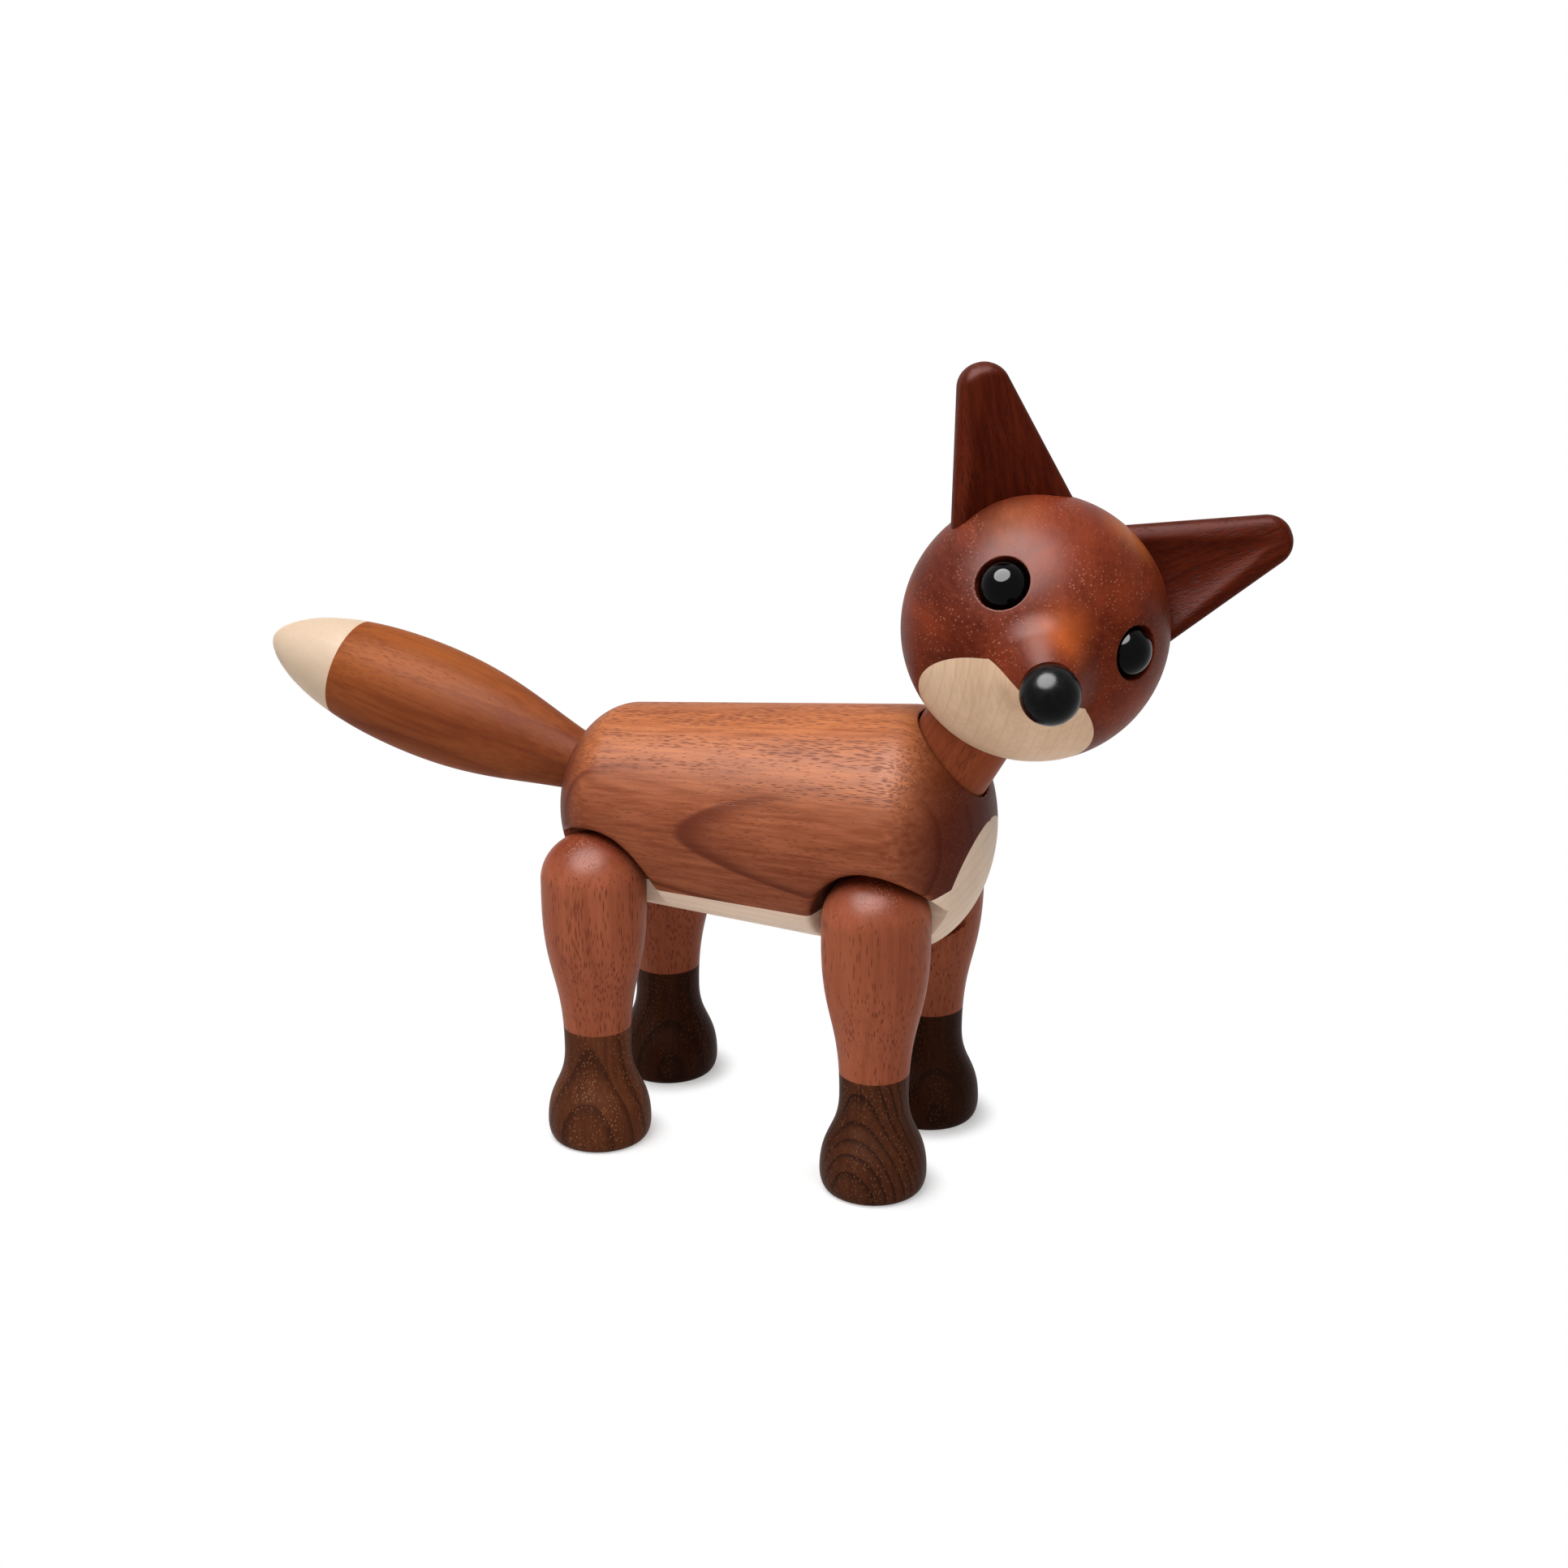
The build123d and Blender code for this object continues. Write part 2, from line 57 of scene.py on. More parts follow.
def turnAbout(v, axis, degrees):  # v turned about a unit axis
    a = math.radians(degrees)
    along = axis * np.dot(axis, v) * (1 - math.cos(a))
    return v * math.cos(a) + np.cross(axis, v) * math.sin(a) + along


def bezier(points, count):  # Bernstein sum of the control points
    t = np.linspace(0, 1, count)[:, None]
    p = np.asarray(points, float)
    n = len(p) - 1
    return sum(math.comb(n, i) * (1 - t) ** (n - i) * t ** i * p[i] for i in range(n + 1))


def ovalArc(centre, rx, ry, start, end, count):  # part of an ellipse, angles in degrees
    a = np.radians(np.linspace(start, end, count))
    return np.stack([centre[0] + rx * np.cos(a), centre[1] + ry * np.sin(a)], 1)


def run(start, end, count):  # straight run of points
    return np.linspace(start, end, count)


def chain(*curves):  # curves end to end, without the doubled points
    return np.concatenate([curves[0]] + [c[1:] for c in curves[1:]])


def splitAt(line, distance, count):  # a turned profile parted by a flat: what is before it and after it
    radius = np.interp(distance, line[:, 0], line[:, 1])
    point = np.array([[distance, radius]])
    before = np.concatenate([line[line[:, 0] < distance], point])
    after = np.concatenate([point, line[line[:, 0] > distance]])
    closing = run((distance, radius), (distance, 0), count)
    opening = run((distance, 0), (distance, radius), count)
    return chain(before, closing), chain(opening, after)


def roundDrop(d, radius):  # how far a rounded edge falls at distance d from it
    t = np.clip(radius - d, 0, radius)
    return radius - np.sqrt(np.maximum(radius ** 2 - t ** 2, 0))


def drilled(points, centre, axis, hole):  # sinks a round hole to its floor, with a softened rim
    away = points - centre
    along = away @ axis
    d = np.linalg.norm(away - along[..., None] * axis, axis=-1) - hole["radius"]
    fall = roundDrop(np.maximum(d, 0), hole["rim"]) * (d < hole["rim"])
    share = np.clip(-d / hole["wall"], 0, 1)
    near = (along > hole["span"][0]) & (along < hole["span"][1])
    sink = np.where(near, fall + (along - hole["floor"] - fall) * share, 0)
    return points - sink[..., None] * axis


def stitch(name, rings):
    # rings is rows x columns x 3; the columns close round and the end rows are poles
    rows, cols = rings.shape[:2]
    inner = rings[1:-1]
    verts = np.concatenate([rings[:1, 0], inner.reshape(-1, 3), rings[-1:, 0]])
    ids = 1 + np.arange((rows - 2) * cols).reshape(rows - 2, cols)
    nextIds = np.roll(ids, -1, 1)
    last = len(verts) - 1
    quads = np.stack([ids[:-1], nextIds[:-1], nextIds[1:], ids[1:]], -1).reshape(-1, 4)
    first = np.stack([np.zeros(cols, int), nextIds[0], ids[0]], -1)
    end = np.stack([np.full(cols, last), ids[-1], nextIds[-1]], -1)
    corners = verts[quads]
    cross = np.cross(corners[:, 1] - corners[:, 0], corners[:, 3] - corners[:, 0])
    volume = np.einsum("ij,ij->i", corners.mean(1) - verts.mean(0), cross).sum()
    if volume < 0:  # faces point outwards
        quads, first, end = quads[:, ::-1], first[:, ::-1], end[:, ::-1]
    mesh = bpy.data.meshes.new(name)
    mesh.from_pydata((verts * mm).tolist(), [], first.tolist() + end.tolist() + quads.tolist())
    mesh.polygons.foreach_set("use_smooth", np.ones(len(mesh.polygons), bool))
    mesh.set_sharp_from_angle(angle=math.radians(crispAngle))
    mesh.update()
    piece = bpy.data.objects.new(name, mesh)
    bpy.context.scene.collection.objects.link(piece)
    return piece


def turn(origin, axis, up, profile, cols):
    # each profile row is (distance along the axis, radius), carried round the axis
    side = np.cross(axis, up)
    a = np.linspace(0, 2 * math.pi, cols, endpoint=False)
    spoke = np.cos(a)[:, None] * up + np.sin(a)[:, None] * side
    return origin + profile[:, 0, None, None] * axis + profile[:, 1, None, None] * spoke


def partedTurn(origin, axis, up, profile, cut, upper, outerCols, flatCols):
    # a turned form parted at height cut (one value per row) above its axis: the kept arc, then the flat
    s, r = profile[:, 0], profile[:, 1]
    share = cut / np.maximum(r, tiny)
    shown = share < poleShare if upper else share > -poleShare
    shown[0] = shown[0] or upper
    rows = np.flatnonzero(shown)
    rows = np.arange(max(rows[0] - 1, 0), min(rows[-1] + 2, len(s)))
    s, r = s[rows], r[rows]
    half = np.arccos(np.clip(share[rows], -1, 1))
    t = np.linspace(0, 1, outerCols)
    if upper:
        a = -half[:, None] + 2 * half[:, None] * t
    else:
        a = half[:, None] + 2 * (math.pi - half[:, None]) * t
    side = np.cross(axis, up)
    height, width = r[:, None] * np.cos(a), r[:, None] * np.sin(a)
    f = np.linspace(0, 1, flatCols + 2)[1:-1]
    flatHeight = np.repeat(height[:, -1:], flatCols, 1)
    flatWidth = width[:, -1:] + (width[:, :1] - width[:, -1:]) * f
    height = np.concatenate([height, flatHeight], 1)
    width = np.concatenate([width, flatWidth], 1)
    return origin + s[:, None, None] * axis + height[..., None] * up + width[..., None] * side


# finishes: one group draws the wood's figure, and each material colours it

figureInputs = (
    "Ring Spacing", "Ring Taper", "Ring Warp", "Ring Sharpness", "Pore Length", "Pore Width", "Pore Size",
)
figureOutputs = ("Rings", "Fibre", "Pores", "Mottle")
figureScale = {  # noise steps in a millimetre, along the grain and across it
    "warp": (0.016, 0.05, 0.05), "fibre": (0.05, 1.3, 1.3),
    "patch": (0.03, 0.25, 0.25), "mottle": (0.02, 0.11, 0.11),
}
figureBand = {  # where each soft step starts and ends, and what it gives there if not 0 and 1
    "ringRise": (0.35, 0.94), "ringFall": (0.95, 1.0, 1.0, 0.0),
    "patch": (0.32, 0.62, 0.45, 1.15), "pore": (0.05, 0.6),
    "tone": (0.3, 0.7), "endGrain": (0.25, 0.95), "paintedSheen": (0.3, 0.6, 0.5, 1.0),
}
crownPores = (0.8, 1.35)  # pore size under the crown and on it, as shares
relief = {"roughSpread": 0.05, "poreRough": 0.15, "fibreLift": 0.25, "depth": 0.0001}
cloudBand = {"tone": (0.35, 0.7), "gloss": (0.3, 0.7)}
cloudRough = (0.85, 1.15)  # roughness from the smoothest to the dullest cloud, as shares


class Tree:
    # short hand for adding and joining nodes
    def __init__(self, tree):
        self.nodes, self.links = tree.nodes, tree.links

    def add(self, kind, inputs=None, **settings):
        node = self.nodes.new(kind)
        for key, value in settings.items():
            setattr(node, key, value)
        for key, value in (inputs or {}).items():
            self.put(node.inputs[key], value)
        return node

    def put(self, socket, value):
        if isinstance(value, bpy.types.NodeSocket):
            self.links.new(value, socket)
        else:
            socket.default_value = value

    def math(self, operation, a, b=0.0, clamp=False):
        node = self.add("ShaderNodeMath", {0: a, 1: b}, operation=operation, use_clamp=clamp)
        return node.outputs[0]

    def vector(self, operation, a, b):
        return self.add("ShaderNodeVectorMath", {0: a, 1: b}, operation=operation).outputs[0]

    def distance(self, where, point):
        node = self.add("ShaderNodeVectorMath", {0: where, 1: point}, operation="DISTANCE")
        return node.outputs["Value"]

    def ramp(self, value, low, high, toLow=0.0, toHigh=1.0):
        inputs = {"Value": value, "From Min": low, "From Max": high, "To Min": toLow, "To Max": toHigh}
        node = self.add("ShaderNodeMapRange", inputs, interpolation_type="SMOOTHSTEP")
        return node.outputs["Result"]

    def mix(self, share, a, b, blend="MIX"):
        node = self.add("ShaderNodeMix", data_type="RGBA", blend_type=blend)
        self.put(node.inputs[0], share)
        self.put(node.inputs[6], a)
        self.put(node.inputs[7], b)
        return node.outputs[2]

    def noise(self, vector, scale=1.0, detail=2.0, rough=0.55):
        inputs = {"Vector": vector, "Scale": scale, "Detail": detail, "Roughness": rough}
        return self.add("ShaderNodeTexNoise", inputs)


def makeWoodFigure():
    # vector in millimetres with X along the grain and the pith on the X axis
    group = bpy.data.node_groups.new("woodFigure", "ShaderNodeTree")
    group.interface.new_socket("Vector", in_out="INPUT", socket_type="NodeSocketVector")
    for label in figureInputs:
        group.interface.new_socket(label, in_out="INPUT", socket_type="NodeSocketFloat")
    for label in figureOutputs:
        group.interface.new_socket(label, in_out="OUTPUT", socket_type="NodeSocketFloat")
    t = Tree(group)
    source = t.add("NodeGroupInput")
    sink = t.add("NodeGroupOutput")
    vector = source.outputs["Vector"]
    # rings: distance from the wavy pith, in saw teeth that rise slowly and fall at once
    slow = t.vector("MULTIPLY", vector, figureScale["warp"])
    warp = t.vector("SUBTRACT", t.noise(slow).outputs["Color"], (0.5, 0.5, 0.5))
    stretched = t.add("ShaderNodeVectorMath", {0: warp}, operation="SCALE")
    t.put(stretched.inputs["Scale"], source.outputs["Ring Warp"])
    warped = t.vector("ADD", vector, stretched.outputs[0])
    split = t.add("ShaderNodeSeparateXYZ", {0: warped})
    flat = t.add("ShaderNodeCombineXYZ", {"Y": split.outputs[1], "Z": split.outputs[2]})
    away = t.add("ShaderNodeVectorMath", {0: flat.outputs[0]}, operation="LENGTH").outputs["Value"]
    lean = t.math("MULTIPLY", split.outputs[0], source.outputs["Ring Taper"])
    phase = t.math("DIVIDE", t.math("ADD", away, lean), source.outputs["Ring Spacing"])
    saw = t.math("FRACT", phase)
    rise = t.math("POWER", t.ramp(saw, *figureBand["ringRise"]), source.outputs["Ring Sharpness"])
    t.put(sink.inputs["Rings"], t.math("MULTIPLY", rise, t.ramp(saw, *figureBand["ringFall"])))
    # fibre: fine streaks along the grain
    fine = t.vector("MULTIPLY", vector, figureScale["fibre"])
    t.put(sink.inputs["Fibre"], t.noise(fine, detail=4.0, rough=0.65).outputs["Fac"])
    # pores: long cells, which come larger and smaller in patches
    long = t.math("DIVIDE", 1.0, source.outputs["Pore Length"])
    wide = t.math("DIVIDE", 1.0, source.outputs["Pore Width"])
    cell = t.add("ShaderNodeCombineXYZ", {"X": long, "Y": wide, "Z": wide})
    cells = t.vector("MULTIPLY", vector, cell.outputs[0])
    pores = t.add("ShaderNodeTexVoronoi", {"Vector": cells, "Scale": 1.0})
    patches = t.noise(t.vector("MULTIPLY", vector, figureScale["patch"])).outputs["Fac"]
    size = t.math("MULTIPLY", source.outputs["Pore Size"], t.ramp(patches, *figureBand["patch"]))
    spot = t.math("SUBTRACT", 1.0, t.math("DIVIDE", pores.outputs["Distance"], size), clamp=True)
    t.put(sink.inputs["Pores"], t.ramp(spot, *figureBand["pore"]))
    # mottle: broad clouds of tone
    broad = t.vector("MULTIPLY", vector, figureScale["mottle"])
    t.put(sink.inputs["Mottle"], t.noise(broad).outputs["Fac"])
    return group


woodFigure = makeWoodFigure()


def newMaterial(name):
    material = bpy.data.materials.new(name)
    material.use_nodes = True
    material.node_tree.nodes.clear()
    return material, Tree(material.node_tree)


def opaque(colour):
    return (*colour, 1)


def addShader(t, look, colour, rough, height):
    bump = t.add("ShaderNodeBump", {"Height": height, "Strength": look["bump"], "Distance": relief["depth"]})
    shader = t.add("ShaderNodeBsdfPrincipled", {"Base Color": colour, "Roughness": rough})
    t.put(shader.inputs["Normal"], bump.outputs[0])
    shader.inputs["Metallic"].default_value = look.get("metal", 0.0)
    shader.inputs["Specular IOR Level"].default_value = look["specular"]
    t.put(t.add("ShaderNodeOutputMaterial").inputs["Surface"], shader.outputs[0])


def woodMaterial(name, look):
    material, t = newMaterial(name)
    grain = unit(look["grain"])
    across = unit(np.cross(look.get("across", upright), grain))
    turned = Matrix(np.stack([grain, across, np.cross(grain, across)], 1).tolist())
    grainFrame = t.add("ShaderNodeMapping", vector_type="TEXTURE")  # origin on the pith, X along the grain
    grainFrame.inputs["Location"].default_value = [c * mm for c in look["pith"]]
    grainFrame.inputs["Rotation"].default_value = turned.to_euler()
    grainFrame.inputs["Scale"].default_value = (mm, mm, mm)
    where = t.add("ShaderNodeTexCoord").outputs["Object"]
    t.put(grainFrame.inputs["Vector"], where)
    figure = t.add("ShaderNodeGroup", node_tree=woodFigure)
    t.put(figure.inputs["Vector"], grainFrame.outputs[0])
    for label in figureInputs:
        figure.inputs[label].default_value = look[label]
    rings, fibre, pores, mottle = [figure.outputs[label] for label in figureOutputs]
    if "crown" in look:  # towards the top the rings fade and the pores grow
        height = t.add("ShaderNodeSeparateXYZ", {0: where}).outputs[2]
        crown = t.ramp(height, *[c * mm for c in look["crown"]])
        rings = t.math("MULTIPLY", rings, t.math("SUBTRACT", 1.0, crown))
        poreSizes = [look["Pore Size"] * share for share in crownPores]
        t.put(figure.inputs["Pore Size"], t.ramp(crown, 0.0, 1.0, *poreSizes))
    fibreTone = t.math("MULTIPLY", fibre, look["fibreShare"])
    mottleTone = t.math("MULTIPLY", mottle, 1 - look["fibreShare"])
    tone = t.ramp(t.math("ADD", fibreTone, mottleTone), *figureBand["tone"])
    colour = t.mix(tone, opaque(look["dark"]), opaque(look["light"]))
    colour = t.mix(t.math("MULTIPLY", rings, look["ringShare"]), colour, opaque(look["ring"]))
    facing = t.add("ShaderNodeAttribute", attribute_name="endGrain").outputs["Fac"]
    endGrain = t.ramp(facing, *figureBand["endGrain"], 0.0, look["endShare"])
    colour = t.mix(endGrain, colour, opaque(look["end"]))
    if "crown" in look:  # painted shade: below the crown the colour is multiplied by the shade tint, drawn darker towards the bottom as if lit from above
        shaded = t.mix(1.0, colour, opaque(look["shade"]), "MULTIPLY")
        colour = t.mix(crown, shaded, colour)
    dash = t.mix(endGrain, opaque(look["pore"]), opaque(look["endPore"]))
    colour = t.mix(t.math("MULTIPLY", pores, look["poreShare"]), colour, dash)
    for patch in look.get("patches", ()):  # painted sheen: golden patches of highlight round given points, broken up by the mottle
        away = t.distance(where, [c * mm for c in patch["at"]])
        glow = t.ramp(away, 0.0, patch["reach"] * mm, patch["share"], 0.0)
        glow = t.math("MULTIPLY", glow, t.ramp(mottle, *figureBand["paintedSheen"]))
        colour = t.mix(glow, colour, opaque(patch["colour"]))
    spread = relief["roughSpread"]
    rough = t.ramp(fibre, *figureBand["tone"], look["rough"] - spread, look["rough"] + spread)
    rough = t.math("ADD", rough, t.math("MULTIPLY", pores, relief["poreRough"]))
    height = t.math("SUBTRACT", t.math("MULTIPLY", fibre, relief["fibreLift"]), pores)
    addShader(t, look, colour, rough, height)
    material["grain"] = grain.tolist()
    return material


def markEndGrain(mesh, grain):  # how squarely each point of the surface cuts across the grain
    normals = np.empty(len(mesh.vertices) * 3, np.float32)
    mesh.vertices.foreach_get("normal", normals)
    across = np.abs(normals.reshape(-1, 3) @ np.asarray(grain, np.float32))
    mesh.attributes.new("endGrain", "FLOAT", "POINT").data.foreach_set("value", across)


def coatedMaterial(name, look):  # beads, satin paint and steel, with faint clouds in tone and gloss
    material, t = newMaterial(name)
    where = t.add("ShaderNodeTexCoord").outputs["Object"]
    cloud = t.noise(where, look["cloudScale"], detail=3.0).outputs["Fac"]
    colour = t.mix(t.ramp(cloud, *cloudBand["tone"]), opaque(look["dark"]), opaque(look["light"]))
    rough = t.ramp(cloud, *cloudBand["gloss"], *[look["rough"] * share for share in cloudRough])
    addShader(t, look, colour, rough, cloud)
    return material


def place(piece, body, node, material):
    piece.data.materials.append(material)
    if "grain" in material:
        markEndGrain(piece.data, material["grain"])
    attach(piece, body)
    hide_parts(node)
    return piece


# where the main forms are, as the solids have them

stance = {"wheelbase": 52.8, "track": 30.4, "hipHeight": 53.0}
torsoForm = {
    "rear": (-37.4, 0.0, 59.2), "pitch": 1.6, "length": 78.9, "rearRadius": 17.7, "frontRadius": 21.3,
    "rearCap": 12.1, "frontCap": 15.3, "fullness": 0.55,
    "bellyHeight": 48.9, "stepX": 24.9, "cornerX": 38.4, "cornerHeight": 55.3, "bibSlope": 72.5,
}
pocketForm = {"floor": 10.5, "height": 46.0, "halfWidth": 11.5, "halfHeight": 13.0, "edge": 1.5, "wall": 0.5}
headForm = {
    "centre": (47.9, 0.0, 98.5), "radius": 22.0, "neckTilt": 60.0, "turn": -69.7, "drop": 24.7,
    "snoutReach": 28.0, "snoutTip": 4.5, "snoutAngle": 25.7, "fillet": 7.0,
    "chinDrop": 2.4, "chinCorner": 20.2, "chinSlope": 47.0,
}
neckForm = {"radius": 8.0, "foot": 32.85, "edge": 0.6, "overlap": 5.0}
neckSocket = {"radius": 8.25, "floor": -33.0, "rim": 0.4, "wall": 0.2, "span": (-33.0, 0.0)}

pitch = math.radians(torsoForm["pitch"])
torsoRear = np.array(torsoForm["rear"])
torsoAxis = np.array([math.cos(pitch), 0, math.sin(pitch)])
torsoUp = np.array([-math.sin(pitch), 0, math.cos(pitch)])
headCentre = np.array(headForm["centre"])
tilt = math.radians(headForm["neckTilt"])
neckAxis = np.array([math.cos(tilt), 0, math.sin(tilt)])


def onTurnedHead(v):  # a direction on the head facing forward, after it drops and turns
    dropped = turnAbout(v, leftward, headForm["drop"])
    return turnAbout(dropped, neckAxis, headForm["turn"])


faceAxis, leftAxis, crownAxis = (onTurnedHead(v) for v in (forward, leftward, upright))


# looks of the woods, the beads and the steel

tailGrain = (-0.965, 0, 0.262)  # along the tail
redWood = {
    "Ring Spacing": 3.0, "Ring Taper": 0.0, "Ring Warp": 2.0, "Ring Sharpness": 5.0,
    "Pore Length": 2.3, "Pore Width": 0.3, "Pore Size": 0.42,
    "fibreShare": 0.6, "ringShare": 0.3, "poreShare": 0.75, "rough": 0.42, "bump": 0.3, "specular": 0.04,
    "dark": (0.22, 0.054, 0.019), "light": (0.44, 0.138, 0.056),
    "ring": (0.12, 0.025, 0.009), "pore": (0.11, 0.023, 0.009),
    "end": (0.15, 0.026, 0.009), "endShare": 0.85, "endPore": (0.36, 0.13, 0.065),
}
torsoWood = woodMaterial("torsoWood", {
    **redWood, "grain": torsoAxis, "pith": (-12.0, -46.0, 65.0),
    "Ring Spacing": 6.8, "Ring Taper": -0.1, "Ring Warp": 1.2, "Ring Sharpness": 9.0, "ringShare": 0.8,
    "end": (0.08, 0.012, 0.0042), "endShare": 0.9, "endPore": (0.16, 0.045, 0.022),
    "dark": (0.22, 0.056, 0.0165), "light": (0.44, 0.143, 0.049),
    # painted shade: the torso is drawn darker below the crown, as if lit from above
    "crown": (64.0, 76.0), "shade": (0.73, 0.67, 0.88),
})
tailWood = woodMaterial("tailWood", {
    **redWood, "grain": tailGrain, "pith": (-60.0, -20.0, 50.0), "Ring Spacing": 5.2, "Ring Taper": 0.05,
    "dark": (0.2, 0.0475, 0.0102), "light": (0.335, 0.096, 0.0205), "endShare": 0.0, "specular": 0.012,
    "fibreShare": 0.45, "poreShare": 0.5, "Pore Size": 0.36,
    # painted shade: the tail is drawn darker and pinker below the crown, as if lit from above
    "crown": (70.0, 91.0), "shade": (0.7, 0.66, 1.05),
})
neckWood = woodMaterial("neckWood", {
    **redWood, "grain": neckAxis, "pith": (20.0, 10.0, 70.0),
    "dark": (0.2, 0.042, 0.014), "light": (0.27, 0.062, 0.021),
})
headWood = woodMaterial("headWood", {
    **redWood, "grain": faceAxis, "across": forward, "pith": (40.0, 10.0, 130.0),
    "Ring Spacing": 4.5, "Ring Warp": 4.0, "Pore Length": 0.75, "Pore Width": 0.62, "Pore Size": 0.3,
    "poreShare": 0.5, "ringShare": 0.2, "fibreShare": 0.35, "rough": 0.4, "specular": 0.038,
    "dark": (0.07, 0.009, 0.003), "light": (0.185, 0.029, 0.0085),
    "pore": (0.36, 0.13, 0.07), "endShare": 0.0,
    # painted sheen: golden patches of highlight by the snout and on the crown
    "patches": [
        {"at": (58.1, -20.8, 103.1), "reach": 7.5, "share": 1.0, "colour": (0.38, 0.075, 0.013)},
        {"at": (62.8, 2.0, 114.5), "reach": 7.5, "share": 0.8, "colour": (0.38, 0.105, 0.024)},
        {"at": (45.1, -9.1, 118.3), "reach": 9.0, "share": 0.35, "colour": (0.36, 0.12, 0.045)},
    ],
})
earLook = {
    **redWood, "Ring Spacing": 4.0, "Ring Warp": 4.0, "ringShare": 0.15, "fibreShare": 0.6,
    "specular": 0.022, "endShare": 0.0,
    "dark": (0.046, 0.0046, 0.0012), "light": (0.096, 0.0128, 0.0034),
    "pore": (0.025, 0.004, 0.002), "ring": (0.035, 0.006, 0.0025),
}
legLook = {
    **redWood, "Ring Spacing": 4.0, "ringShare": 0.15, "Pore Length": 3.4, "Pore Width": 0.34,
    "poreShare": 0.85, "fibreShare": 0.45, "rough": 0.37, "specular": 0.042,
    "dark": (0.235, 0.058, 0.026), "light": (0.345, 0.096, 0.046), "end": (0.14, 0.021, 0.006),
}
mapleLook = {
    "Ring Spacing": 2.4, "Ring Taper": 0.02, "Ring Warp": 1.5, "Ring Sharpness": 5.0,
    "Pore Length": 4.0, "Pore Width": 0.45, "Pore Size": 0.16,
    "fibreShare": 0.45, "ringShare": 0.22, "poreShare": 0.15, "rough": 0.42, "bump": 0.08, "specular": 0.04,
    "dark": (0.61, 0.425, 0.295), "light": (0.7, 0.51, 0.365),
    "ring": (0.5, 0.325, 0.21), "pore": (0.45, 0.3, 0.19),
    "end": (0.6, 0.42, 0.29), "endShare": 0.2, "endPore": (0.45, 0.3, 0.19),
}
bellyMaple = woodMaterial("bellyMaple", {
    **mapleLook, "grain": torsoAxis, "pith": (0.0, 10.0, 20.0),
    "dark": (0.72, 0.54, 0.4), "light": (0.82, 0.645, 0.5),
})
chinMaple = woodMaterial("chinMaple", {
    **mapleLook, "grain": (0.1, 0.0, 1.0), "across": forward,
    "pith": headCentre + np.array([150.0, 60.0, 0.0]), "Ring Spacing": 1.7, "ringShare": 0.36,
    "dark": (0.56, 0.36, 0.225), "light": (0.7, 0.49, 0.335),
})
tipMaple = woodMaterial("tipMaple", {
    **mapleLook, "grain": tailGrain, "pith": (-90.0, 12.0, 100.0),
    "Pore Length": 0.6, "Pore Width": 0.5, "Pore Size": 0.4,
    "poreShare": 0.22, "fibreShare": 0.25, "ringShare": 0.06,
    "dark": (0.51, 0.38, 0.27), "light": (0.58, 0.44, 0.325),
})
walnutLook = {
    "Ring Warp": 3.5, "Ring Sharpness": 2.2,
    "Pore Length": 0.75, "Pore Width": 0.45, "Pore Size": 0.38,
    "fibreShare": 0.5, "poreShare": 0.7, "rough": 0.42, "bump": 0.25, "specular": 0.025,
    "dark": (0.045, 0.0125, 0.005), "light": (0.09, 0.027, 0.0105),
    "ring": (0.018, 0.0055, 0.0028), "pore": (0.17, 0.07, 0.028),
    "end": (0.03, 0.009, 0.004), "endShare": 0.3, "endPore": (0.13, 0.05, 0.02),
}
beadBlack = coatedMaterial("beadBlack", {
    "dark": (0.0006, 0.0006, 0.0007), "light": (0.0012, 0.0012, 0.0012),
    "cloudScale": 300.0, "rough": 0.08, "bump": 0.01, "specular": 0.065,
})
noseBlack = coatedMaterial("noseBlack", {
    "dark": (0.0012, 0.0012, 0.0014), "light": (0.0025, 0.0025, 0.0028),
    "cloudScale": 900.0, "rough": 0.24, "bump": 0.015, "specular": 0.07,
})
dowelWood = woodMaterial("dowelWood", {**mapleLook, "grain": leftward, "pith": (0.0, 0.0, 40.0)})
plainSteel = coatedMaterial("plainSteel", {
    "dark": (0.5, 0.5, 0.51), "light": (0.62, 0.62, 0.63),
    "cloudScale": 700.0, "rough": 0.3, "bump": 0.05, "metal": 1.0, "specular": 0.5,
})
print("finishes made")


# torso and belly, one turned form parted along the belly line

torsoDetail = {"rear": 60, "side": 130, "front": 80, "torsoCols": 300, "bellyCols": 180, "flatCols": 24}


def torsoProfile():  # a rounded rear, a straight side that widens, and a rounded chest
    f, k = torsoForm, torsoForm["fullness"]
    slope = (f["frontRadius"] - f["rearRadius"]) / (f["length"] - f["rearCap"] - f["frontCap"])
    start = f["length"] - f["frontCap"]
    rear = bezier([
        (0, 0),
        (0, k * f["rearRadius"]),
        (f["rearCap"] * (1 - k), f["rearRadius"] - slope * k * f["rearCap"]),
        (f["rearCap"], f["rearRadius"]),
    ], torsoDetail["rear"])
    front = bezier([
        (start, f["frontRadius"]),
        (start + k * f["frontCap"], f["frontRadius"] + slope * k * f["frontCap"]),
        (f["length"], k * f["frontRadius"]),
        (f["length"], 0),
    ], torsoDetail["front"])
    return chain(rear, run(rear[-1], front[0], torsoDetail["side"]), front)


